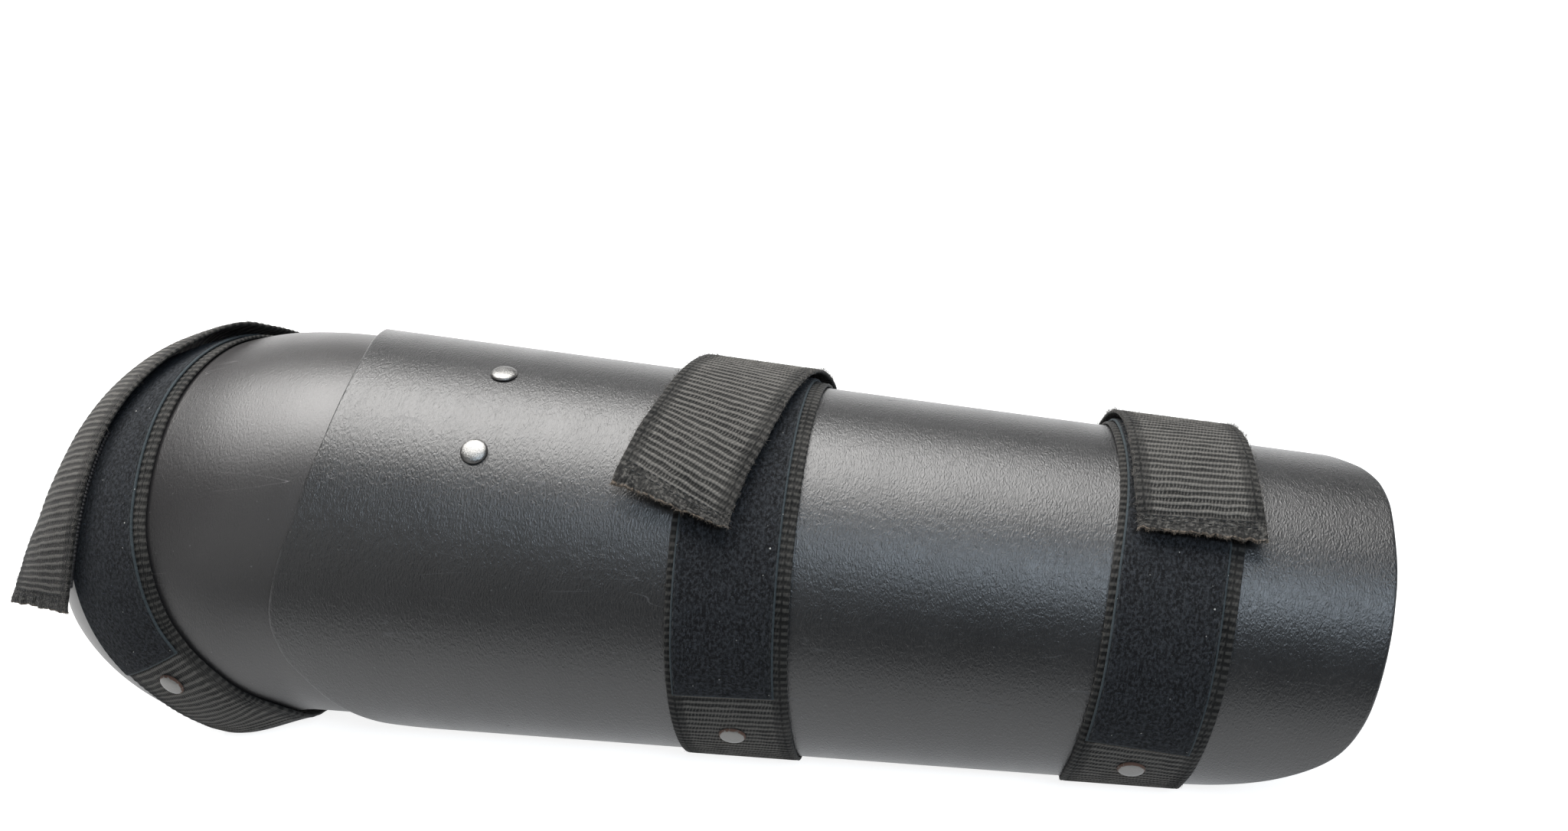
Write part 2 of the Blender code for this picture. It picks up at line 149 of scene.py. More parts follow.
# %% Shader arithmetic
class Wire:
    """An output socket in a material; an expression on it adds Math nodes."""

    def __init__(self, finish, socket):
        self.finish, self.socket = finish, socket

    def math(self, operation, *values):
        return self.finish.node("ShaderNodeMath", {"operation": operation}, dict(enumerate(values)))

    def __add__(self, other):
        return self.math("ADD", self, other)

    def __radd__(self, other):
        return self.math("ADD", other, self)

    def __sub__(self, other):
        return self.math("SUBTRACT", self, other)

    def __rsub__(self, other):
        return self.math("SUBTRACT", other, self)

    def __mul__(self, other):
        return self.math("MULTIPLY", self, other)

    def __rmul__(self, other):
        return self.math("MULTIPLY", other, self)

    def __abs__(self):
        return self.math("ABSOLUTE", self)

    def sine(self):
        return self.math("SINE", self)

    def ramp(self, low, high):
        """0 below low, 1 above high, and a smooth rise between; low above high turns it over."""
        if low > high:
            return 1 - self.ramp(high, low)
        return self.finish.node("ShaderNodeMapRange", {"interpolation_type": "SMOOTHSTEP"},
                                {"Value": self, "From Min": low, "From Max": high})


class Finish:
    """A material being written; uniform values go straight on its shader's sockets."""

    def __init__(self, name, **uniform):
        self.material = bpy.data.materials.new(name)
        self.material.use_nodes = True
        self.tree = self.material.node_tree
        self.shader = self.tree.nodes["Principled BSDF"]
        for socket, value in uniform.items():
            self.shader.inputs[socket.replace("_", " ")].default_value = value

    def node(self, kind, settings=None, inputs=None, output=0):
        """Adds a node and returns the Wire of one output, or a list for a tuple of outputs."""
        made = self.tree.nodes.new(kind)
        for key, value in (settings or {}).items():
            setattr(made, key, value)
        self.connect(made, inputs or {})
        if isinstance(output, tuple):
            return [Wire(self, made.outputs[which]) for which in output]
        return Wire(self, made.outputs[output])

    def connect(self, made, inputs):
        for key, value in inputs.items():
            if isinstance(value, Wire):
                self.tree.links.new(value.socket, made.inputs[key])
            else:
                made.inputs[key].default_value = value

    def shade(self, **links):
        self.connect(self.shader, {key.replace("_", " "): wire for key, wire in links.items()})
        return self.material

    def lay(self):
        """The piece's own flat coordinates in millimetres: along, across, and from its edge."""
        read = self.node("ShaderNodeAttribute", {"attribute_name": "lay"}, output=1)
        big = self.node("ShaderNodeVectorMath", {"operation": "SCALE"}, {0: read, "Scale": 1 / MM})
        return big, *self.node("ShaderNodeSeparateXYZ", None, {0: big}, output=(0, 1, 2))

    def stretched(self, vector, scale):
        return self.node("ShaderNodeVectorMath", {"operation": "MULTIPLY"}, {0: vector, 1: scale})

    def noise(self, vector, scale, detail=2.0, roughness=0.5):
        return self.node("ShaderNodeTexNoise", None, {"Vector": vector, "Scale": scale, "Detail": detail,
                                                      "Roughness": roughness})

    def mix(self, factor, first, second):
        return self.node("ShaderNodeMix", {"data_type": "RGBA"}, {0: factor, 6: first, 7: second}, output=2)

    def bump(self, height, distance):
        return self.node("ShaderNodeBump", None, {"Height": height, "Distance": distance})


def rgb(r, g, b):
    return (r, g, b, 1.0)


# %% [markdown]
# ## Plastic
# The shells are sheet plastic formed with a leather grain: short wrinkles, a millimetre or two long,
# that run mostly round the leg.  Cells of a Voronoi texture, squeezed along the guard and bent by noise,
# have that look, and their borders are the creases.  The knee shell was stretched more when it was
# formed, so its grain is fainter.  Scuffs are thin pale lines where the grain has been rubbed off.


# %% Shell plastic
def shell_plastic(name, colour, grain, gloss):
    finish = Finish(name, Specular_IOR_Level=0.5)
    flat, _, _, rim = finish.lay()
    swirl = finish.node("ShaderNodeTexNoise", None, {"Vector": flat, "Scale": 0.23, "Detail": 2.0}, output=1)
    bent = finish.node("ShaderNodeVectorMath", {"operation": "MULTIPLY_ADD"},
                       {0: swirl, 1: (2.0, 3.0, 0.0), 2: flat})
    cells = finish.node("ShaderNodeTexVoronoi", {"feature": "DISTANCE_TO_EDGE"},
                        {"Vector": finish.stretched(bent, (0.95, 0.50, 0.0)), "Scale": 1.0})
    wrinkle = finish.noise(finish.stretched(bent, (1.25, 0.50, 0.0)), 1.0, 3.0, 0.6)
    micro = finish.noise(flat, 5.0, 2.0)
    height = cells.ramp(0.0, 0.5) * 0.32 + wrinkle * 1.25 + micro * 0.12
    broad = finish.noise(flat, 0.018, 3.0)
    worn = finish.noise(finish.stretched(flat, (0.05, 0.012, 0.0)), 1.0, 3.0)
    edge = rim.ramp(1.3, 0.3) * finish.noise(flat, 0.12, 2.0).ramp(0.35, 0.6)
    line = abs(finish.noise(finish.stretched(flat, (0.012, 0.10, 0.0)), 1.0, 1.0) - 0.5).ramp(0.0045, 0.001)
    patch = finish.noise(flat, 0.03, 1.0).ramp(0.56, 0.66)
    dust = finish.noise(flat, 0.62, 0.0).ramp(0.845, 0.87)
    scuff = line * patch
    rubbed = finish.mix(edge * 0.8 + scuff * 0.8, rgb(*colour), rgb(*(c * 5 for c in colour)))
    tone = finish.mix(broad.ramp(0.35, 0.7) * 0.4, rubbed, rgb(*(c * 1.4 for c in colour)))
    dusty = finish.mix(dust * 0.3, tone, rgb(0.10, 0.10, 0.10))
    rough = gloss + worn * 0.12 + edge * 0.06 + scuff * 0.15
    return finish.shade(Base_Color=dusty, Roughness=rough, Normal=finish.bump(height, grain))


SHIN_PLASTIC = shell_plastic("grained shin plastic", (0.0062, 0.0062, 0.0065), 0.21 * MM, 0.295)
KNEE_PLASTIC = shell_plastic("satin knee plastic", (0.0110, 0.0103, 0.0105), 0.09 * MM, 0.335)
print("plastics:", SHIN_PLASTIC.name, "and", KNEE_PLASTIC.name)

# %% [markdown]
# ## Webbing
# The straps are heavy ribbed webbing: cords of weft lie across it every 3.2 mm, and fine warp yarns run
# over them, which shows as dark ticks between the ribs.  The ribs are real geometry further down.  The
# material adds what is finer: the yarns, the ticks, and a little unevenness of dye.  It also paints a
# light line on each rib's top, a painted highlight, and leaves the grooves near black, painted shade.

# %% Webbing finish
RIB_PITCH, YARN_PITCH = 3.2, 1.4                       # millimetres, as the flat coordinates are


def webbing_finish(name, low, high):
    finish = Finish(name, Roughness=0.9, Sheen_Weight=0.04, Sheen_Roughness=0.4, Specular_IOR_Level=0.15)
    flat, along, across, rim = finish.lay()
    wobble = finish.noise(flat, 0.16, 2.0) - 0.5
    cord = ((along + wobble * 1.6) * (math.tau / RIB_PITCH)).sine() * 0.5 + 0.5
    tick = (across * (math.tau / YARN_PITCH) - along * (math.tau * 0.55 / RIB_PITCH)
            + wobble * 9.0).sine() * 0.5 + 0.5
    fine = finish.noise(flat, 1.3, 3.0, 0.65)
    patchy = finish.noise(flat, 0.11, 2.0).ramp(0.38, 0.62)
    # painted highlight on each rib's top; where it is low, the groove stays near black, which is painted
    # shade
    light = cord.ramp(0.30, 0.95) * (0.55 + fine * 0.7) * (0.72 + tick * 0.28)
    groove = (1 - cord.ramp(0.15, 0.6)) * tick.ramp(0.45, 0.9) * (0.16 + patchy * 0.34)
    body = light + groove + (fine - 0.5) * 0.30
    beads = abs(across).ramp(22.1, 22.6) * cord.ramp(0.3, 0.9) * (0.12 + fine * 0.3)
    inside = (1 - abs(across).ramp(21.2, 21.8)) * (1 - abs(across).ramp(17.5, 19.5) * 0.6)
    hem = rim.ramp(8.4, 7.2)
    pressed = finish.noise(flat, 0.55, 3.0, 0.7).ramp(0.42, 0.70) * 0.6
    cloth = finish.mix((body * inside + beads) * (1 - hem) + pressed * hem, rgb(*low), rgb(*high))
    worn = finish.noise(flat, 0.05, 3.0).ramp(0.3, 0.75) * 0.10
    faded = finish.mix(worn, cloth, rgb(*(c * 1.4 for c in high)))
    sealed = rim.ramp(0.9, 0.3) * finish.noise(flat, 0.5, 3.0, 0.7).ramp(0.38, 0.62)
    tone = finish.mix(sealed, faded, rgb(0.095, 0.075, 0.058))
    height = cord * 0.35 + tick * 0.4 + fine * 0.5
    return finish.shade(Base_Color=tone, Normal=finish.bump(height, 0.35 * MM))


# its first colour is the painted shade in the grooves, its second the painted highlight on the rib tops
WEBBING = webbing_finish("ribbed webbing", (0.0028, 0.0028, 0.0027), (0.072, 0.0685, 0.063))
print("webbing:", len(WEBBING.node_tree.nodes), "nodes")

# %% [markdown]
# ## Loop tape, hook tape, foam, thread and metal
# Loop tape is a knitted pile, brushed into a soft blue-black nap, with a thin paler woven line along each
# edge.  Hook tape is a grid of tiny stiff hooks.  The liner is closed-cell foam, whose skin is faintly
# pebbled.  The rivets are nickel plate, and those on the straps have started to rust round their rims.
# The knee strap's near back has a finish of its own: smooth, and near black, which is painted shade for
# the length that lies under the knee shell's flank.


# %% Loop tape, fibre, hook tape, foam, nickel and painted shade strap back finishes
def loop_finish():
    finish = Finish("brushed loop tape", Roughness=0.95, Sheen_Weight=0.06, Sheen_Roughness=0.4,
                    Sheen_Tint=rgb(0.40, 0.45, 0.52), Specular_IOR_Level=0.15)
    flat, _, _, rim = finish.lay()
    tufts = finish.noise(flat, 0.62, 4.0, 0.72)
    clumps = finish.noise(flat, 0.16, 3.0)
    pile = finish.mix(tufts.ramp(0.40, 0.66), rgb(0.0016, 0.0018, 0.0021), rgb(0.0185, 0.0200, 0.0225))
    brushed = finish.mix(clumps.ramp(0.45, 0.75) * 0.4, pile, rgb(0.0120, 0.0135, 0.0155))
    woven = rim.ramp(0.95, 0.6) * (0.35 + finish.noise(flat, 0.8, 2.0) * 0.8)
    tone = finish.mix(woven, brushed, rgb(0.026, 0.033, 0.036))
    lint = finish.noise(flat, 0.55, 0.0).ramp(0.865, 0.885)
    return finish.shade(Base_Color=finish.mix(lint * 0.6, tone, rgb(0.35, 0.35, 0.33)),
                        Normal=finish.bump(tufts + clumps * 0.5, 0.5 * MM))


def fibre_finish(name, colour, spread):
    finish = Finish(name, Roughness=0.9, Sheen_Weight=0.05, Specular_IOR_Level=0.1)
    place = finish.node("ShaderNodeTexCoord", output=3)
    vary = finish.noise(place, 260.0, 1.0)
    return finish.shade(Base_Color=finish.mix(vary.ramp(0.35, 0.65), rgb(*colour),
                                              rgb(*(c * spread for c in colour))))


HOOK_PITCH = 1.6                                       # millimetres, as the flat coordinates are


def hook_finish():
    finish = Finish("hook tape", Roughness=0.55)
    _, along, across, _ = finish.lay()
    hooks = (along * (math.tau / HOOK_PITCH)).sine() * (across * (math.tau / HOOK_PITCH)).sine()
    return finish.shade(Base_Color=finish.mix(hooks.ramp(-0.2, 0.6), rgb(0.006, 0.006, 0.007),
                                              rgb(0.022, 0.022, 0.025)),
                        Normal=finish.bump(hooks, 0.4 * MM))


def foam_finish():
    finish = Finish("closed cell foam", Specular_IOR_Level=0.3)
    flat = finish.lay()[0]
    skin = finish.node("ShaderNodeTexVoronoi", {"feature": "F1"}, {"Vector": flat, "Scale": 0.9})
    soft = finish.noise(flat, 0.12, 3.0)
    tone = finish.mix(soft.ramp(0.3, 0.7), rgb(0.030, 0.030, 0.033), rgb(0.050, 0.050, 0.054))
    return finish.shade(Base_Color=tone, Roughness=0.75 + soft * 0.2,
                        Normal=finish.bump(skin + soft * 0.6, 0.25 * MM))


def nickel_finish(name, colour, gloss, rusty):
    finish = Finish(name)
    flat, _, _, rim = finish.lay()
    blotch = finish.noise(flat, 0.9, 4.0, 0.65)
    pits = finish.noise(flat, 3.2, 3.0, 0.6)
    rust = (rim.ramp(1.1, 0.15) * blotch.ramp(0.25, 0.60)).ramp(0.15, 0.6) * rusty
    plate = finish.mix(blotch * 0.6, rgb(*colour), rgb(*(c * 0.7 for c in colour)))
    tone = finish.mix(rust, plate, rgb(0.060, 0.030, 0.019))
    return finish.shade(Base_Color=tone, Metallic=1 - rust * 0.85, Roughness=gloss + pits * 0.16 + rust * 0.4,
                        Normal=finish.bump(pits + blotch, 0.10 * MM))


def painted_shade_back_finish():
    # painted shade: near black, for the shade under the knee shell's flank
    finish = Finish("smooth strap back in painted shade", Specular_IOR_Level=0.3)
    flat = finish.lay()[0]
    weave = finish.noise(finish.stretched(flat, (0.9, 2.4, 0.0)), 1.0, 3.0)
    return finish.shade(Base_Color=finish.mix(weave.ramp(0.3, 0.7), rgb(0.0035, 0.0035, 0.004),
                                              rgb(0.008, 0.008, 0.009)),
                        Roughness=0.6 + weave * 0.2, Normal=finish.bump(weave, 0.12 * MM))


LOOP = loop_finish()
HOOK = hook_finish()
FOAM = foam_finish()
NICKEL = nickel_finish("bright nickel plate", (0.150, 0.149, 0.146), 0.20, 0.15)
DULL_NICKEL = nickel_finish("dull nickel plate with a rusty rim", (0.165, 0.163, 0.158), 0.36, 1.0)
PAINTED_SHADE_BACK = painted_shade_back_finish()
THREAD = fibre_finish("black thread", (0.007, 0.0075, 0.008), 2.2)
LINT = fibre_finish("webbing fuzz", (0.035, 0.032, 0.029), 2.6)
NAP = fibre_finish("loop fuzz", (0.011, 0.013, 0.018), 3.0)
FRAY = fibre_finish("frayed end", (0.060, 0.050, 0.040), 2.6)
print("materials:", len(bpy.data.materials))

# %% [markdown]
# ## The two surfaces that everything lies on
# The shin shell is a tapered round channel.  The knee shell follows it just underneath, and closes toward
# the knee end in a flat dome.  Straps, tapes and rivets all lie on these two surfaces, so the surfaces are
# written once, as formulas that take whole arrays.  `x` runs from the knee (negative) to the ankle and
# `a` is the angle round the leg from the crest.

# %% Curves through a few points
SHIN_X0, SHIN_X1 = -200.0 * MM, 233.0 * MM
SHIN_R0, SHIN_R1 = 91.0 * MM, 72.0 * MM
SHIN_ZC0, SHIN_ZC1 = 54.6 * MM, 43.2 * MM
SHIN_HALF_DEG = 121.0
SHELL_T = 3.0 * MM
KNEE_TRIM = [(0, -200), (14, -201), (26, -204), (38, -207.5), (48, -212), (57, -215.5), (66, -217.5),
             (76, -215), (86, -208), (95, -202), (103, -196), (112, -187), (122, -165)]
ANKLE_TRIM = [(-122, 150), (-112, 176), (-100, 198), (-83, 218), (-72, 224), (-63, 227), (-48, 230),
              (-34, 232), (-15, 233.5), (5, 233.5), (17, 232), (28, 227.5), (38, 220), (55, 213), (83, 207),
              (100, 194), (112, 174), (122, 148)]
shin_low, shin_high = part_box("shin_shell")
SHIFT = np.array([shin_high.x - max(x for _, x in ANKLE_TRIM) * MM, (shin_low.y + shin_high.y) / 2, 0.0])


def curve(points, t):
    """Smooth curve through a few points that never overshoots them, flat at both ends."""
    xs, ys = np.array(points, float).T
    t = np.clip(t, xs[0], xs[-1])
    slope = np.diff(ys) / np.diff(xs)
    same_way = slope[:-1] * slope[1:] > 0
    total = np.where(same_way, slope[:-1] + slope[1:], 1.0)
    tangent = np.concatenate([[0.0], np.where(same_way, 2 * slope[:-1] * slope[1:] / total, 0.0), [0.0]])
    k = np.clip(np.searchsorted(xs, t, side="right") - 1, 0, len(xs) - 2)
    h = xs[k + 1] - xs[k]
    u = (t - xs[k]) / h
    return ((2 * u ** 3 - 3 * u ** 2 + 1) * ys[k] + (u ** 3 - 2 * u ** 2 + u) * h * tangent[k]
            + (3 * u ** 2 - 2 * u ** 3) * ys[k + 1] + (u ** 3 - u ** 2) * h * tangent[k + 1])


def smooth(t):
    t = np.clip(t, 0.0, 1.0)
    return t * t * (3 - 2 * t)


# %% Shin and knee surfaces
NOSE_XC, NOSE_RX, NOSE_RY, NOSE_ZC = -240.0 * MM, 120.0 * MM, 94.2 * MM, 40.6 * MM
NOSE_POWER = 2.2
KNEE_RIM_X, KNEE_LAP_X = -333.0 * MM, -112.0 * MM
LAP_DROP, LAP_FADE, CREST_FADE, LAP_FADE_DEG = 3.6 * MM, 46.0 * MM, 38.0 * MM, 72.0
KNEE_Z_LOW, KNEE_HALF_DEG = 11.5 * MM, 112.5


def shin_axis(x, a):
    """Radius and centre height of the shin shell's section."""
    t = (x - SHIN_X0) / (SHIN_X1 - SHIN_X0) + 0 * a
    return SHIN_R0 + (SHIN_R1 - SHIN_R0) * t, SHIN_ZC0 + (SHIN_ZC1 - SHIN_ZC0) * t


def knee_axis(x, a):
    r_lap, z_lap = shin_axis(x, a)
    reach = np.clip((NOSE_XC - x) / NOSE_RX, 0.0, 0.985)
    r_nose = NOSE_RY * (1 - reach ** NOSE_POWER) ** (1 / NOSE_POWER)
    lap_edge = curve(KNEE_TRIM, np.minimum(66.0, abs(np.degrees(a)))) * MM
    crest = smooth((LAP_FADE_DEG - abs(np.degrees(a))) / 34.0)
    w = smooth(1 + (x - lap_edge) / (LAP_FADE + CREST_FADE * crest))
    return (r_lap - LAP_DROP) * w + r_nose * (1 - w), z_lap * w + NOSE_ZC * (1 - w)


def on(axis, x, a):
    """Points of a surface; axis is shin_axis or knee_axis."""
    x, a = np.broadcast_arrays(x, a)
    r, zc = axis(x, a)
    return np.stack([x, r * np.sin(a), zc + r * np.cos(a)], axis=-1)


def unit(v):
    return v / np.linalg.norm(v, axis=-1, keepdims=True)


def outward(axis, x, a):
    dx, da = 0.5 * MM, 0.004
    n = unit(np.cross(on(axis, x + dx, a) - on(axis, x - dx, a), on(axis, x, a + da) - on(axis, x, a - da)))
    radial = np.sin(a) * n[..., 1] + np.cos(a) * n[..., 2]
    return n * np.where(radial > 0, 1.0, -1.0)[..., None]


print("the formulas' origin sits at", (SHIFT / MM).round(2), "mm")

# %% [markdown]
# ## Making closed meshes from grids
# A shell, a tape or a pad is the same thing: two grids of points, outer and inner, joined round their rim.
# Each point also keeps its flat coordinates, called `lay`, which the materials read, so a weave follows
# the tape wherever it bends.


# %% Mesh helpers
def new_piece(name, points, quads, lay, material):
    """A mesh object from arrays; faces are turned outward if the volume comes out negative."""
    p = points[quads]
    volume = (np.cross(p[:, 0], p[:, 1]) * p[:, 2]).sum() + (np.cross(p[:, 0], p[:, 2]) * p[:, 3]).sum()
    if volume < 0:
        quads = quads[:, ::-1]
    mesh = bpy.data.meshes.new(name)
    mesh.vertices.add(len(points))
    mesh.vertices.foreach_set("co", (points + SHIFT).astype(np.float32).ravel())
    mesh.loops.add(quads.size)
    mesh.loops.foreach_set("vertex_index", quads.astype(np.int32).ravel())
    mesh.polygons.add(len(quads))
    mesh.polygons.foreach_set("loop_start", np.arange(0, quads.size, 4, dtype=np.int32))
    mesh.update(calc_edges=True)
    mesh.attributes.new("lay", "FLOAT_VECTOR", "POINT").data.foreach_set(
        "vector", lay.astype(np.float32).ravel())
    mesh.materials.append(material)
    mesh.shade_smooth()
    piece = bpy.data.objects.new(name, mesh)
    bpy.context.scene.collection.objects.link(piece)
    return piece


def closed_grid(name, outer, inner, lay, material):
    """outer, inner: rows x columns x 3 points; lay: the same shape."""
    rows, cols = outer.shape[:2]
    up = np.arange(rows * cols).reshape(rows, cols)
    lo = up + rows * cols

    def quads(g):
        return np.stack([g[:-1, :-1], g[1:, :-1], g[1:, 1:], g[:-1, 1:]], -1).reshape(-1, 4)

    def rim(g):
        return np.concatenate([g[:, 0], g[-1, 1:], g[-2::-1, -1], g[0, -2:0:-1]])

    top_rim, low_rim = rim(up), rim(lo)
    wall = np.stack([top_rim, np.roll(top_rim, -1), np.roll(low_rim, -1), low_rim], -1)[:, ::-1]
    faces = np.concatenate([quads(up), quads(lo)[:, ::-1], wall])
    points = np.concatenate([outer.reshape(-1, 3), inner.reshape(-1, 3)])
    return new_piece(name, points, faces, np.concatenate([lay.reshape(-1, 3)] * 2), material)


def crowded(n, finest):
    """n stations from 0 to 1 whose spacing shrinks to finest of the middle's at both ends."""
    t = np.linspace(-1, 1, n)
    s = t - (1 - finest) * t ** 9 / 9                    # its slope is 1 - (1 - finest) * t ** 8
    return 0.5 + 0.5 * s / s[-1]


def rounded(distance, radius):
    """How far a face drops at that distance from a rim rounded to radius."""
    d = np.clip(radius - distance, 0.0, radius)
    return radius - np.sqrt(np.maximum(radius ** 2 - d ** 2, 0.0))


# %% [markdown]
# ## The shells
# Each shell was trimmed with a router after forming, so its edge is cut square and then eased by hand.
# The rim is rounded here over a third of the thickness, which is what catches the light along the step
# where the shin shell laps over the knee shell.


# %% Shin shell and knee shell
RIM_RADIUS = 1.1 * MM
KNEE_END_ROUND, KNEE_END_INSET = 30 * MM, 26 * MM      # how its two lower corners are rounded off


def shell(name, axis, x, a, around, material):
    """x, a: grids of stations. around: distance round the leg, for the material."""
    p, n = on(axis, x, a), outward(axis, x, a)
    rows = np.linalg.norm(np.diff(p, axis=0), axis=-1)
    from_start = np.concatenate([np.zeros((1, p.shape[1])), np.cumsum(rows, axis=0)])
    cols = np.linalg.norm(np.diff(p, axis=1), axis=-1)
    from_side = np.concatenate([np.zeros((p.shape[0], 1)), np.cumsum(cols, axis=1)], axis=1)
    ends = np.minimum(from_start, from_start[-1] - from_start)
    sides = np.minimum(from_side, from_side[:, -1:] - from_side)
    edge = np.minimum(ends, sides)
    ease = rounded(edge, RIM_RADIUS)[..., None]
    lay = np.stack([x, around, edge], -1)
    piece = closed_grid(name, p - n * ease, p - n * (SHELL_T - ease), lay, material)
    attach(piece, "guard")
    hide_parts(name)
    return piece


def shin_stations(rows, cols):
    a = np.radians(SHIN_HALF_DEG) * (2 * crowded(cols, 0.12) - 1)
    start, end = curve(KNEE_TRIM, abs(np.degrees(a))) * MM, curve(ANKLE_TRIM, np.degrees(a)) * MM
    t = crowded(rows, 0.06)[:, None]
    return start + (end - start) * t, np.broadcast_to(a, (rows, cols))


x, a = shin_stations(190, 230)
shin_shell = shell("shin_shell", shin_axis, x, a, a * (SHIN_R0 + SHIN_R1) / 2, SHIN_PLASTIC)


def knee_stations(rows, cols):
    x = KNEE_RIM_X + (KNEE_LAP_X - KNEE_RIM_X) * crowded(rows, 0.10)
    r, zc = knee_axis(x, np.radians(100.0))
    half = np.minimum(np.arccos(-(zc - KNEE_Z_LOW) / r), np.radians(KNEE_HALF_DEG))
    near = np.clip(1 - (x - KNEE_RIM_X) / KNEE_END_ROUND, 0, 1)
    half = half - KNEE_END_INSET * (1 - np.sqrt(1 - near ** 2)) / r
    return np.broadcast_to(x[:, None], (rows, cols)), half[:, None] * (2 * crowded(cols, 0.12) - 1)


x, a = knee_stations(170, 210)
knee_shell = shell("knee_shell", knee_axis, x, a, a * NOSE_RY, KNEE_PLASTIC)
print("shells:", len(shin_shell.data.vertices), "and", len(knee_shell.data.vertices), "vertices")

# %% [markdown]
# ## The liners
# Inside each shell a foam liner is glued.  It is a sheet of closed-cell foam whose edge was pressed thin
# and whose face has pressed channels that let it bend.  A foam sheet this thin has no slack for a cloth
# simulation to fill, so its crowned ribs are shaped directly.


# %% Foam liners
FOAM_ROWS, FOAM_COLS = 120, 90
FOAM_CORNER, FOAM_CLEARANCE = 20 * MM, 0.6 * MM
FOAM_EDGE_T, FOAM_RISE = 2.0 * MM, 3.9 * MM            # pressed thin at its edge, and how much it swells
CHANNEL_PITCH = 46 * MM


def liner(name, axis, x0, x1, half_deg, channels):
    """A foam sheet under a surface; channels: where its long grooves lie round the leg, in mm."""
    t = np.linspace(0, 1, FOAM_ROWS)
    ends = np.minimum(t, 1 - t) * (x1 - x0)
    near = np.clip(1 - ends / FOAM_CORNER, 0, 1)
    half = np.radians(half_deg) - FOAM_CORNER * (1 - np.sqrt(1 - near ** 2)) / SHIN_R0
    s = np.linspace(-1, 1, FOAM_COLS)
    a = half[:, None] * s
    x = np.broadcast_to((x0 + (x1 - x0) * t)[:, None], a.shape)
    side = (1 - abs(s)) * half[:, None] * SHIN_R0
    edge = np.minimum(np.broadcast_to(ends[:, None], a.shape), side)
    press = smooth(edge / (7 * MM))
    groove = np.minimum.reduce([smooth(abs(a * SHIN_R0 - c * MM) / (5 * MM)) for c in channels])
    groove = np.minimum(groove, smooth(abs((x - x0) % CHANNEL_PITCH - CHANNEL_PITCH / 2) / (4.5 * MM)))
    thick = FOAM_EDGE_T + FOAM_RISE * press * (0.45 + 0.55 * groove)
    top = SHELL_T + FOAM_CLEARANCE
    p, n = on(axis, x, a), outward(axis, x, a)
    lay = np.stack([x, a * SHIN_R0, edge], -1)
    pad = closed_grid(name, p - n * top, p - n * (top + thick)[..., None], lay, FOAM)
    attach(pad, "guard")
    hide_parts(name)
    return pad


liner("shin_pad", shin_axis, -104 * MM, 200 * MM, 82.0, (-78, -26, 26, 78))
liner("knee_pad", knee_axis, KNEE_RIM_X + 10 * MM, -152 * MM, 70.0, (-60, 0, 60))
print("liners made")

# %% [markdown]
# ## Straps: where they run
# Each strap has a band riveted across the shell with loop tape sewn on it, a back that passes behind the
# leg, and a tail that comes up the far flank and over the crest.  A route (band, tail or drape) is given
# by a few points of its centre line: the angle round the leg in degrees, then x in mm.  `across` gives
# the direction in which the drooping knee tail runs across itself.  `rivet`, `loop`, the two ends,
# `hinge_deg` and `tip` are angles too.  `skew` (in mm) and `slant` set how askew the tail's end is,
# `ride` how far the whole strap stands off, and `lift` how far the tail stands off at the crest.

# %% Strap routes and thicknesses
GAP = 0.3 * MM
WEB_T, WEB_W = 1.6 * MM, 50.0 * MM
LOOP_T, HOOK_T = 1.4 * MM, 1.2 * MM
BAND_OFF = GAP + WEB_T / 2
LOOP_OFF = GAP + WEB_T + GAP + LOOP_T / 2
HOOK_OFF = GAP + WEB_T + GAP + LOOP_T + 0.5 * MM + HOOK_T / 2
TAIL_OFF = HOOK_OFF + HOOK_T / 2 + GAP + WEB_T / 2
FLOOR_LIFT = 0.8 * MM
print("a tail's middle surface is", round(TAIL_OFF / MM, 2), "mm off the shell")
STRAPS = {
    "knee": dict(
        band=[(0, -303), (35, -300), (57, -293), (69, -286), (78, -277), (86, -267.5), (96, -258),
              (106, -250), (114, -248)],
        rivet=83.5, loop=(-78.0, 70.0), near_end=-111.6, far_end=96.0, hinge_deg=104.0,
        tail=[(-40, -330), (-30, -327), (-15, -322), (0, -316), (15, -310),
              (30, -304), (50, -297), (69, -287), (86, -268), (96, -258), (106, -250), (112, -248)],
        drape=[(-64, -311), (-46, -306.5), (-32, -304.5), (-15, -302.5), (-3, -299.5), (12, -293), (26, -284),
               (50, -272)],
        across=[(-64, (-39, 11, -26)), (-46, (-38.5, 11, -29)), (-32, (-38, 15, -31)),
                (-15, (-35, 15.5, -33)), (12, (-34, 17, -34)), (50, (-34, 17, -33))],
        tip=-62.0, skew=0.0, ride=0.3 * MM, lift=0.0, slant=10.0 * MM),
    "calf": dict(
        band=[(0, -26.5), (60, -26.5), (114, -25.0)],
        rivet=94.5, loop=(-77.0, 78.0), near_end=-119.4, far_end=107.0, hinge_deg=112.0,
        tail=[(-27, -52.0), (-12, -47.5), (0, -42.0), (20, -35.5), (45, -30), (70, -27), (112, -25)],
        tip=-25.5, skew=-9.5, ride=0.0, lift=3.2 * MM, slant=0.0),
    "ankle": dict(
        band=[(0, 150.5), (35, 147.5), (60, 145), (90, 140), (112, 137.0)],
        rivet=96.0, loop=(-84.0, 80.0), near_end=-119.4, far_end=107.0, hinge_deg=112.0,
        tail=[(-20, 156.5), (0, 154.5), (20, 152.5), (45, 149), (70, 145), (112, 137)],
        tip=-17.0, skew=-2.0, ride=0.0, lift=1.4 * MM, slant=0.0),
}

# %% [markdown]
# ## Laying a tape on a surface
# A tape keeps its width while its middle follows the route.  For each row the direction along and the
# direction across are found, then every point across is dropped back onto the shell, so the tape hugs it.


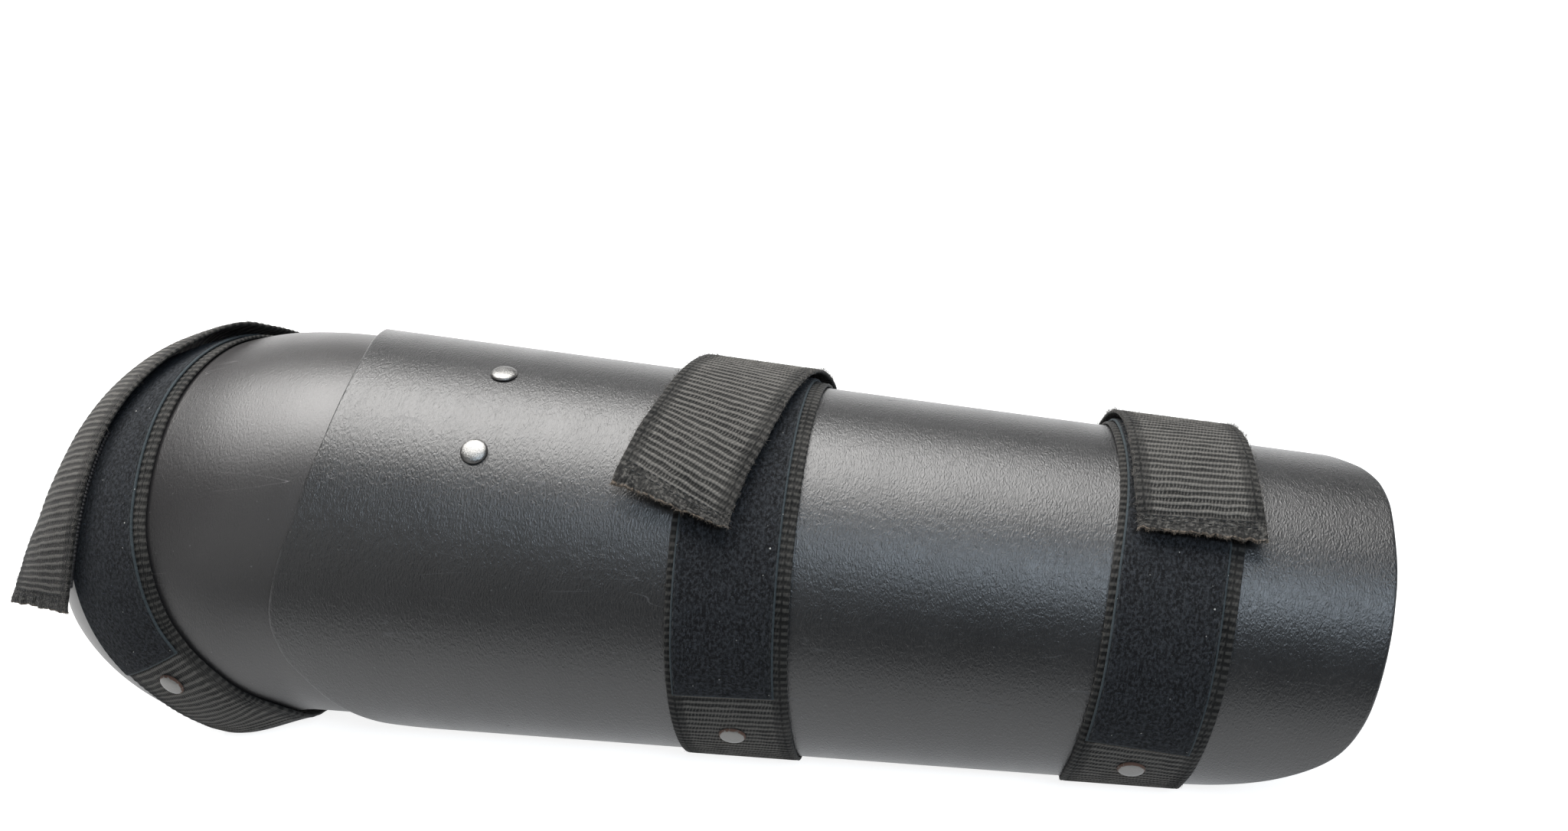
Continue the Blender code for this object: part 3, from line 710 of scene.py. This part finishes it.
# %% Lay, drape and run to the floor
LEG_R, ROW_PITCH = 86 * MM, 0.45 * MM                  # these only set how close together the rows are


def tape_columns(width, fine):
    """Positions across a tape, crowded near both edges so that they can be round."""
    inner = np.linspace(-1, 1, fine) * (width / 2 - 0.8 * MM)
    edge = width / 2 - np.array([0.5, 0.2, 0.05, 0.0]) * MM
    return np.concatenate([-edge[::-1], inner, edge])


def laid(axis, line, degs, across, offset, skew=0.0):
    """Middle points and normals (rows x columns x 3) of a tape on the surface, along line(deg) -> x."""
    a = np.radians(degs)
    mid = on(axis, line(degs), a)
    ahead = on(axis, line(degs + 1.5), np.radians(degs + 1.5))
    behind = on(axis, line(degs - 1.5), np.radians(degs - 1.5))
    along = unit(ahead - behind)
    side = unit(np.cross(along, outward(axis, line(degs), a)))
    side *= np.where(side[:, :1] > 0, 1.0, -1.0)
    q = (mid[:, None] + side[:, None] * across[None, :, None]
         + along[:, None] * (np.broadcast_to(skew, degs.shape)[:, None] * across / WEB_W)[..., None])
    zc = axis(q[..., 0], a[:, None])[1]
    a2 = np.arctan2(q[..., 1], q[..., 2] - zc)
    n = outward(axis, q[..., 0], a2)
    return on(axis, q[..., 0], a2) + n * offset, n


DROOP_FROM, DROOP_FULL = 56.0, 30.0                    # degrees: where it starts and is complete


def drooped(p, n, axis, degs, spec, offset):
    """The knee tail's outer half leaves the dome and droops over its rim, toward the tip more and more."""
    a = np.radians(degs)
    x = curve(spec["drape"], degs) * MM
    normal = outward(axis, x, a)
    edge = on(axis, x, a) + normal * offset
    away = unit(np.stack([curve([(d, v[i]) for d, v in spec["across"]], degs) for i in range(3)], -1))
    width = np.linalg.norm(p[:, -1] - p[:, 0], axis=-1)[:, None, None]
    tangent = unit(away - normal * (away * normal).sum(-1, keepdims=True))
    weight = smooth((DROOP_FROM - degs) / (DROOP_FROM - DROOP_FULL))[:, None, None]
    share = np.linalg.norm(p - p[:, -1:], axis=-1)[..., None] / width
    away, tangent, normal, edge = (v[:, None] for v in (away, tangent, normal, edge))
    q = edge + (away * share + (tangent - away) * share * (1 - share)) * width
    slope = away + (tangent - away) * (1 - 2 * share)
    dip = normal - slope * ((normal * slope).sum(-1, keepdims=True) / (slope ** 2).sum(-1, keepdims=True))
    return p + (q - p) * weight, unit(n + (dip - n) * weight)


def to_floor(p, before, steps):
    """Rows that carry a tape's last row p down to the floor in one even bend, and their normals."""
    heading = unit(p - before)
    flat = unit(heading * [1, 1, 0])
    phi0 = np.arctan2(-heading[:, 2], np.linalg.norm(heading[:, :2], axis=-1))
    radius = (p[:, 2] - FLOOR_LIFT) / (1 - np.cos(phi0))
    phi = phi0 * (1 - np.linspace(0, 1, steps)[:, None])
    run = radius * (np.sin(phi0) - np.sin(phi))
    fall = radius * (np.cos(phi) - np.cos(phi0))
    down = np.array([0.0, 0.0, 1.0])
    rows = p + flat * run[..., None] - down * fall[..., None]
    return rows, -down * np.cos(phi)[..., None] - flat * np.sin(phi)[..., None]


def stations(start, stop, pitch=ROW_PITCH):
    """Angles from start to stop (degrees), spaced by pitch along the strap."""
    count = max(2, round(abs(math.radians(stop - start)) * LEG_R / pitch))
    return np.linspace(start, stop, count + 1)


# %% [markdown]
# ## Weaving a tape
# A woven tape is thinner at its two edges and carries ribs across it.  `u` is the length along the tape
# and `v` the place across it.  The ribs are lifted out of the surface here; toward a cut end they are
# flattened, because the end was sewn down and heat sealed.

# %% Tape builder
RIB_HEIGHT = 0.30 * MM
SELVEDGE = 3.2 * MM
ACROSS = tape_columns(WEB_W, 46)
print("columns across a strap:", len(ACROSS))


def lengths(p):
    """Distance along the middle column from the first row."""
    steps = np.linalg.norm(np.diff(p[:, p.shape[1] // 2], axis=0), axis=-1)
    return np.concatenate([[0.0], np.cumsum(steps)])


def woven(name, p, n, material, u, cut_end=None, seed=0):
    """A closed ribbed tape from its middle surface. cut_end: distance of each row from a sewn, cut end."""
    half = np.abs(ACROSS)
    rim = np.minimum(WEB_W / 2 - half, 3 * MM)
    body = np.sqrt(np.clip(1 - ((0.8 * MM - rim) / (0.8 * MM)).clip(0, 1) ** 2, 0.02, 1))
    beat = math.tau * (u[:, None] / (RIB_PITCH * MM)) - math.pi / 2
    rib = np.cos(beat)
    edge = smooth((half - (WEB_W / 2 - SELVEDGE)) / (0.6 * MM))
    knots = np.cos(beat + math.pi * smooth((half - WEB_W / 2 + SELVEDGE * 0.55) / (0.4 * MM)))
    relief = rib * (1 - edge) + knots * 0.8 * edge
    if cut_end is not None:
        relief = relief * (0.25 + 0.75 * smooth((cut_end[:, None] - 4 * MM) / (5 * MM)))
    rng = np.random.default_rng(seed)
    grain = rng.normal(0, 0.03, relief.shape)
    lift = ((relief + grain) * RIB_HEIGHT / 2 * body)[..., None]
    t = (WEB_T / 2 * body)[None, :, None]
    far = cut_end if cut_end is not None else np.full(len(u), 50 * MM)
    lay = np.stack(np.broadcast_arrays(u[:, None], ACROSS[None], far[:, None]), -1)
    return closed_grid(name, p + n * (t + lift), p - n * (t + lift * 0.6), lay, material)


# %% [markdown]
# ## The straps
# The strap is one length of webbing.  It opens where it comes round the far edge of the shell, so its
# pieces meet on rows that belong to one body only: the band and the near half of the back ride on the
# guard, the far half of the back is bent across the hinge and is attached to no body, and the tail rides
# on its own body.  Heat sealing leaves the tail's cut end a little ragged and curled, which a small random
# relief gives it.

# %% Soft tufts
WAVES = 26


def tufts(u, v, seed):
    """A smooth random relief, mostly between -1 and 1, from waves of many directions."""
    rng = np.random.default_rng(seed)
    total = np.zeros(np.broadcast(u, v).shape)
    for _ in range(WAVES):
        pitch = rng.uniform(0.9, 3.4) * MM
        turn = rng.uniform(0, math.tau)
        phase = rng.uniform(0, math.tau)
        total += np.sin((u * math.cos(turn) + v * math.sin(turn)) * math.tau / pitch + phase)
    return total / 6.0


# %% Routes and bands
def strap_lines(name, spec):
    """The surface a strap lies on, x of its band and tail at an angle, and how far the tail stands off."""
    return dict(axis=knee_axis if name == "knee" else shin_axis,
                band_line=lambda degs: curve(spec["band"], abs(degs)) * MM,
                tail_line=lambda degs: curve(spec["tail"], degs) * MM,
                lift_at=lambda degs: spec["lift"] * smooth((60 - degs) / 50))


def lay_band(name, spec, strap):
    degs = stations(spec["near_end"], spec["far_end"])
    p, n = laid(strap["axis"], strap["band_line"], degs, ACROSS, BAND_OFF + spec["ride"])
    u = lengths(p)
    band = woven(f"{name}_band", p, n, WEBBING, u, seed=1)
    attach(band, "guard")
    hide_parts(f"{name}_band")
    return p, n, u


# %% Backs
NEAR_BEND_ROWS, FAR_BEND_ROWS, FLAT_PITCH = 40, 46, 0.9 * MM
SHARED_ROWS = 24                                       # rows of the tail that belong to the far bend
GAUGE_COLUMN = 20                                      # where the gap between the two bends is measured


def lay_back(name, p, n, u, tp, tn):
    """The length behind the leg, from the band (p, n, u) to the tail (tp, tn), in a near and a far piece."""
    near_rows, near_n = to_floor(p[0], p[1], NEAR_BEND_ROWS)
    far_rows, far_n = to_floor(tp[0], tp[1], FAR_BEND_ROWS)
    span = np.linalg.norm(near_rows[-1, GAUGE_COLUMN] - far_rows[-1, GAUGE_COLUMN])
    count = max(6, int(span / FLAT_PITCH) // 2 * 2)
    s = np.linspace(0, 1, count + 1)[1:-1, None, None]
    flat = near_rows[-1] * (1 - s) + far_rows[-1] * s
    flat_n = np.broadcast_to([0.0, 0.0, -1.0], flat.shape)
    path = np.concatenate([near_rows, flat, far_rows[::-1]])
    normals = np.concatenate([near_n, flat_n, far_n[::-1]])
    half = len(near_rows) + len(flat) // 2

    first = np.concatenate([p[1:3][::-1], path[:half + 1]])
    first_n = np.concatenate([n[1:3][::-1], normals[:half + 1]])
    u1 = u[2] - lengths(first)
    # the knee strap's near back takes the near black finish, which is painted shade
    near_finish = PAINTED_SHADE_BACK if name == "knee" else WEBBING
    near_back = woven(f"{name}_back_near", first, first_n, near_finish, u1, seed=2)
    second = np.concatenate([path[half:], tp[1:SHARED_ROWS + 1]])
    second_n = np.concatenate([normals[half:], tn[1:SHARED_ROWS + 1]])
    u2 = u1[-1] - lengths(second)
    far_back = woven(f"{name}_back_far", second, second_n, WEBBING, u2, seed=3)
    for piece in (near_back, far_back):
        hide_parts(f"{name}_back")
    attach(near_back, "guard")
    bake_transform(far_back)
    print(name, "back:", round(float(u1[0] - u2[-1]) / MM), "mm")
    return u2[-1]


# %% Tails
DROOP_OFF = 2.8 * MM
RAGGED, CURL = 0.45 * MM, 1.1 * MM


def skew_at(spec, degs):
    return spec["skew"] * MM * smooth(1 - (degs - spec["tip"]) / 30.0)


def tail_surface(spec, strap):
    """Middle surface of the whole tail, from its hinge to its tip."""
    degs, off = stations(spec["hinge_deg"], spec["tip"]), TAIL_OFF + spec["ride"]
    p, n = laid(strap["axis"], strap["tail_line"], degs, ACROSS, off, skew_at(spec, degs))
    if "drape" in spec:
        p, n = drooped(p, n, strap["axis"], degs, spec, off + DROOP_OFF)
    return p + n * strap["lift_at"](degs)[:, None, None], n


def lay_tail(name, spec, p, n, start_u, seed):
    """The moving part of the tail; start_u: the strap's length coordinate at its first row."""
    tail_body = f"{name}_strap_tail"
    u = start_u - lengths(p)
    from_tip = u - u[-1]

    def near_tip(reach):
        return smooth(1 - from_tip[:, None] / reach)

    ragged = tufts(0.0, ACROSS * 0.5, 60 + seed) * near_tip(4 * MM)
    curl = (CURL + tufts(0.0, ACROSS * 0.22, 70 + seed) * 0.5 * MM) * near_tip(9 * MM)
    slant = spec["slant"] * ACROSS / WEB_W * near_tip(50 * MM)
    p = p + unit(p[-1] - p[-4]) * (ragged * RAGGED + slant)[..., None] + n * curl[..., None]
    tail = woven(f"{name}_tail", p, n, WEBBING, u, cut_end=from_tip, seed=4)
    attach(tail, tail_body)
    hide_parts(f"{name}_tail")
    print(name, "tail:", round(float(from_tip[0]) / MM), "mm")
    return p, n


# %% All three straps
made = {}
for index, (name, spec) in enumerate(STRAPS.items()):
    strap = made[name] = strap_lines(name, spec)
    p, n, u = lay_band(name, spec, strap)
    tp, tn = tail_surface(spec, strap)
    start_u = lay_back(name, p, n, u, tp, tn)
    strap["band"] = (p, n)
    strap["tail"] = lay_tail(name, spec, tp[SHARED_ROWS:], tn[SHARED_ROWS:], start_u, index)
    print(name, "band:", round(float(u[-1]) / MM), "mm")

# %% [markdown]
# ## Loop tape and hook tape
# The loop tape is sewn on the band, a little off centre, so that more bare webbing shows on one side.
# Its pile is lifted in small soft tufts, made of many waves of random direction and phase, and the woven
# edge stays flat.  The hook tape sits under the tail.


# %% Loop tapes
LOOP_W, LOOP_SHIFT = WEB_W - 8 * MM, -1.5 * MM
for index, (name, spec) in enumerate(STRAPS.items()):
    strap = made[name]
    degs = stations(spec["loop"][0], spec["loop"][1], 0.6 * MM)
    across = tape_columns(LOOP_W, 64)
    p, n = laid(strap["axis"], strap["band_line"], degs, across + LOOP_SHIFT, LOOP_OFF + spec["ride"])
    u = lengths(p)
    ends = np.minimum(u, u[-1] - u)[:, None]
    rim = np.minimum(LOOP_W / 2 - abs(across)[None], ends)
    body = np.sqrt(np.clip(1 - ((0.6 * MM - rim) / (0.6 * MM)).clip(0, 1) ** 2, 0.02, 1))
    pile = smooth((rim - 0.9 * MM) / (0.8 * MM))
    relief = (tufts(u[:, None], across[None], 40 + index) * 0.12 * MM + 0.12 * MM) * pile
    lay = np.stack([np.broadcast_to(u[:, None], rim.shape), np.broadcast_to(across, rim.shape), rim], -1)
    outer = p + n * ((LOOP_T / 2 - 0.15 * MM) * body + relief)[..., None]
    tape = closed_grid(f"{name}_loop_tape", outer, p - n * (LOOP_T / 2 * body)[..., None], lay, LOOP)
    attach(tape, "guard")
    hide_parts(f"{name}_loop_tape")
    strap["loop"] = (outer, n, u, across)
print("loop tapes made")

# %% Hook tapes
HOOK_FROM_RIM = 9 * MM                                 # its plain edges are hidden, so it has no rim
DROOP_HOOK_W, DROOP_HOOK_SHIFT = 17 * MM, -11.5        # only the part that lies over the band has hooks


def droop_hook_line(degs):
    return (curve(STRAPS["knee"]["drape"], degs) + DROOP_HOOK_SHIFT) * MM


for name, spec in STRAPS.items():
    strap = made[name]
    if "drape" in spec:
        width, line, starts, ends = DROOP_HOOK_W, droop_hook_line, 4, 52
    else:
        width, line, starts, ends = WEB_W - 9 * MM, strap["tail_line"], 5, 55
    degs = stations(spec["tip"] + starts, spec["tip"] + ends, 1.5 * MM)
    across = tape_columns(width, 24)
    p, n = laid(strap["axis"], line, degs, across, HOOK_OFF + spec["ride"], skew_at(spec, degs))
    p = p + n * (strap["lift_at"](degs) * 0.9)[:, None, None]
    u = lengths(p)
    lay = np.stack(np.broadcast_arrays(u[:, None], across[None], HOOK_FROM_RIM), -1)
    patch = closed_grid(f"{name}_hook_patch", p + n * HOOK_T * 0.5, p - n * HOOK_T * 0.5, lay, HOOK)
    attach(patch, f"{name}_strap_tail")
    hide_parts(f"{name}_hook_patch")
print("hook tapes made")

# %% [markdown]
# ## Stitches, fuzz and frayed ends
# Thread and loose fibres are thin round strands.  All strands of one kind on one body are one mesh, built
# at once from their centre lines: each has a small square section that tapers toward its ends.


# %% Strand builder
SIDES, END_SIZE = 4, 0.35                              # a strand's section, and its size at the ends


def strands(name, lines, radius, material, body):
    """lines: strands x points x 3. A closed tube along each."""
    count, steps = lines.shape[:2]
    along = unit(np.gradient(lines, axis=1))
    pick = np.where(abs(along[..., 2:]) < 0.9, [0.0, 0.0, 1.0], [1.0, 0.0, 0.0])
    e1 = unit(np.cross(along, pick))
    e2 = np.cross(along, e1)
    t = np.linspace(-1, 1, steps)
    size = radius * (1 - (1 - END_SIZE) * abs(t) ** 3)
    turn = np.arange(SIDES) * math.tau / SIDES
    ring = (e1[:, :, None] * np.cos(turn)[:, None] + e2[:, :, None] * np.sin(turn)[:, None])
    points = lines[:, :, None] + ring * size[None, :, None, None]
    grid = np.arange(count * steps * SIDES).reshape(count, steps, SIDES)
    nxt = np.roll(grid, -1, axis=2)
    walls = np.stack([grid[:, :-1], nxt[:, :-1], nxt[:, 1:], grid[:, 1:]], -1).reshape(-1, 4)
    faces = np.concatenate([walls, grid[:, 0, ::-1], grid[:, -1]])
    flat = points.reshape(-1, 3)
    piece = new_piece(name, flat, faces, flat, material)
    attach(piece, body)


STITCH_RISE, STITCH_SINK = 0.10 * MM, 0.12 * MM        # a stitch bulges up and dives in at its ends


def stitch_row(p, n, column, first, last, stitch=3.0 * MM, gap=0.9 * MM):
    """Centre lines of stitches along one column of a tape, between two rows."""
    line, up = p[first:last, column], n[first:last, column]
    u = np.concatenate([[0.0], np.cumsum(np.linalg.norm(np.diff(line, axis=0), axis=-1))])
    begins = np.arange(gap, u[-1] - stitch - gap, stitch + gap)
    t = np.linspace(0, 1, 6)
    at = begins[:, None] + stitch * t
    place = np.stack([np.interp(at, u, line[:, i]) for i in range(3)], -1)
    lift = np.stack([np.interp(at, u, up[:, i]) for i in range(3)], -1)
    arch = STITCH_RISE * (4 * t * (1 - t)) ** 0.5 - STITCH_SINK
    return place + lift * arch[None, :, None]


for name in STRAPS:
    outer, n, u, across = made[name]["loop"]
    columns = [int(np.argmin(abs(across - v * MM))) for v in (-19.6, 19.6)]
    rows = [stitch_row(outer, n, c, 2, len(u) - 2) for c in columns]
    strands(f"{name}_loop_stitches", np.concatenate(rows), 0.26 * MM, THREAD, "guard")
print("tapes stitched")


# %% Fuzz
def hairs(p, n, picks, rng, length, stand, curl):
    """Curved fibres that leave a surface at the picked (row, column) places."""
    base, up = p[picks[:, 0], picks[:, 1]], n[picks[:, 0], picks[:, 1]]
    count = len(picks)
    lean = unit(up * stand + rng.normal(0, 1, (count, 3)) * (1 - stand))
    bend = unit(np.cross(lean, rng.normal(0, 1, (count, 3))))
    size = (length * rng.uniform(0.5, 1.5, count))[:, None, None]
    t = np.linspace(0, 1, 5)[None, :, None]
    path = lean[:, None] * t + bend[:, None] * curl * t ** 2
    return base[:, None] - up[:, None] * 0.15 * MM + size * path


HAIR = 0.055 * MM
rng = np.random.default_rng(9338)
for name, strap in made.items():
    outer, n, u, across = strap["loop"]
    picks = np.stack([rng.integers(3, len(u) - 3, 1500), rng.integers(6, len(across) - 6, 1500)], -1)
    strands(f"{name}_loop_fuzz", hairs(outer, n, picks, rng, 0.8 * MM, 0.45, 0.8), HAIR, NAP, "guard")
    p, n = strap["band"]
    edge_columns = rng.choice([0, 1, 2, p.shape[1] - 3, p.shape[1] - 2, p.shape[1] - 1], 260)
    picks = np.stack([rng.integers(2, len(p) - 2, 260), edge_columns], -1)
    strands(f"{name}_band_fuzz", hairs(p, n, picks, rng, 0.9 * MM, 0.35, 0.9), HAIR, LINT, "guard")
    p, n = strap["tail"]
    top = p + n * WEB_T / 2
    anywhere = np.stack([rng.integers(2, len(p) - 2, 2200), rng.integers(2, p.shape[1] - 2, 2200)], -1)
    edges = np.stack([rng.integers(2, len(p) - 1, 900),
                      rng.choice([1, 2, p.shape[1] - 3, p.shape[1] - 2], 900)], -1)
    lines = np.concatenate([hairs(top, n, anywhere, rng, 1.1 * MM, 0.5, 0.9),
                            hairs(top, n, edges, rng, 1.5 * MM, 0.45, 0.8)])
    strands(f"{name}_tail_fuzz", lines, HAIR, LINT, f"{name}_strap_tail")
    tip, side = p[-1], n[-1]
    heading = unit(p[-1] - p[-4])
    columns = rng.integers(0, p.shape[1], 420)
    base = tip[columns] + side[columns] * (rng.uniform(-0.8, 0.6, 420) * MM)[:, None]
    lean = unit(heading[columns] + rng.normal(0, 0.45, (420, 3)))
    t = np.linspace(0, 1, 5)[None, :, None]
    size = (rng.uniform(0.3, 1.3, 420) * MM)[:, None, None]
    curl = rng.normal(0, 0.35, (420, 1, 3))
    lines = base[:, None] - lean[:, None] * 0.4 * MM + size * (lean[:, None] * t + curl * t ** 2)
    strands(f"{name}_tail_fray", lines, 0.05 * MM, FRAY, f"{name}_strap_tail")
print("fuzz made")

# %% Sewn hems at the tails' ends
for name in STRAPS:
    p, n = made[name]["tail"]
    top = p + n * (WEB_T / 2 + 0.1 * MM)
    lines = []
    for back_from_tip in (5.2, 7.4):
        row = len(p) - 1 - int(back_from_tip * MM / ROW_PITCH)
        across_rows = np.swapaxes(top[row:row + 1], 0, 1)
        across_n = np.swapaxes(n[row:row + 1], 0, 1)
        lines.append(stitch_row(across_rows, across_n, 0, 5, len(across_rows) - 5, 2.2 * MM, 0.8 * MM))
    strands(f"{name}_hem_stitches", np.concatenate(lines), 0.24 * MM, THREAD,
            f"{name}_strap_tail")
print("hems sewn")

# %% [markdown]
# ## Rivets
# Each rivet is a turned piece: a shallow domed head with a rolled rim, a shank through the layers, and a
# clenched end over a washer-like burr inside the shell.  Turning a profile round the rivet's own axis
# gives the shape, with enough steps that no facet shows.

# %% Turned rivets
HEAD_R, HEAD_H = 5.75 * MM, 2.2 * MM
SHANK_R, HOLE_R = 2.0 * MM, 2.3 * MM
SHELL_RIVET_X, SHELL_RIVET_DEG = -137.2 * MM, 14.8
TURN_STEPS = 64


def turned(name, profile, centre, normal, material, closed):
    """Turns (radius, height) points round the normal; a closed profile makes a ring."""
    quat = Vector(normal).to_track_quat("Z", "Y").to_matrix()
    e1, e2, e3 = (np.array(quat @ Vector(v)) for v in ((1, 0, 0), (0, 1, 0), (0, 0, 1)))
    prof = np.array([(max(r, 0.02 * MM), h) for r, h in profile])
    turn = np.arange(TURN_STEPS) * math.tau / TURN_STEPS
    ring = e1 * np.cos(turn)[:, None] + e2 * np.sin(turn)[:, None]
    pts = centre + ring[None] * prof[:, :1, None] + e3 * prof[:, 1:, None]
    grid = np.arange(len(prof) * TURN_STEPS).reshape(len(prof), TURN_STEPS)
    nxt = np.roll(grid, -1, axis=1)
    if closed:
        above, above_next = np.roll(grid, -1, axis=0), np.roll(nxt, -1, axis=0)
        faces = np.stack([grid, nxt, above_next, above], -1).reshape(-1, 4)
    else:
        faces = np.stack([grid[:-1], nxt[:-1], nxt[1:], grid[1:]], -1).reshape(-1, 4)
        half = TURN_STEPS // 2
        k = np.arange(half - 1)
        for row in (0, -1):                    # a cap of quads across each small end
            g = grid[row]
            cap = np.stack([g[k], g[k + 1], g[-k - 2], g[-k - 1]], -1)
            faces = np.concatenate([faces, cap if row else cap[:, ::-1]])
    local = ring[None] * prof[:, :1, None]
    rim = np.broadcast_to((HEAD_R - prof[:, 0])[:, None], local.shape[:2])
    lay = np.stack([local @ e1 + centre[0] * 7, local @ e2, rim], -1)    # shifted, so no two heads match
    piece = new_piece(name, pts.reshape(-1, 3), faces, lay.reshape(-1, 3), material)
    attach(piece, "guard")
    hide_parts(name)
    return piece


def rivet(name, axis, x, deg, above, below, metal):
    """A rivet through everything between above and below the surface, with its burr."""
    a = np.array(math.radians(deg))
    centre, normal = on(axis, np.array(x), a), outward(axis, np.array(x), a)
    base = above + GAP * 0.4
    dome = [(HEAD_R * s, base + 0.28 * MM + (HEAD_H - 0.28 * MM) * math.sqrt(1 - s ** 2.6))
            for s in np.linspace(0.985, 0.0, 16)]
    top, burr_t = below - 0.55 * MM, 1.0 * MM
    clench = top - burr_t - GAP
    profile = [(0, clench - 1.0 * MM), (2.2 * MM, clench - 0.9 * MM), (3.1 * MM, clench - 0.55 * MM),
               (3.3 * MM, clench), (SHANK_R, clench), (SHANK_R, base), (HEAD_R - 0.25 * MM, base),
               (HEAD_R, base + 0.18 * MM)] + dome
    turned(name, profile, centre, normal, metal, False)
    ring = [(HOLE_R, top), (4.8 * MM, top), (5.0 * MM, top - 0.2 * MM), (5.0 * MM, top - burr_t + 0.2 * MM),
            (4.8 * MM, top - burr_t), (HOLE_R, top - burr_t)]
    turned(name + "_burr", ring, centre, normal, NICKEL, True)


for side, sign in (("near", -1), ("far", 1)):
    rivet(f"shell_rivet_{side}", shin_axis, SHELL_RIVET_X, sign * SHELL_RIVET_DEG, 0.0,
          -(LAP_DROP + SHELL_T), NICKEL)
    for name, spec in STRAPS.items():
        rivet(f"{name}_rivet_{side}", made[name]["axis"], float(curve(spec["band"], spec["rivet"])) * MM,
              sign * spec["rivet"], GAP + WEB_T + spec["ride"], -SHELL_T, DULL_NICKEL)
print("rivets made")

bpy.context.view_layer.update()
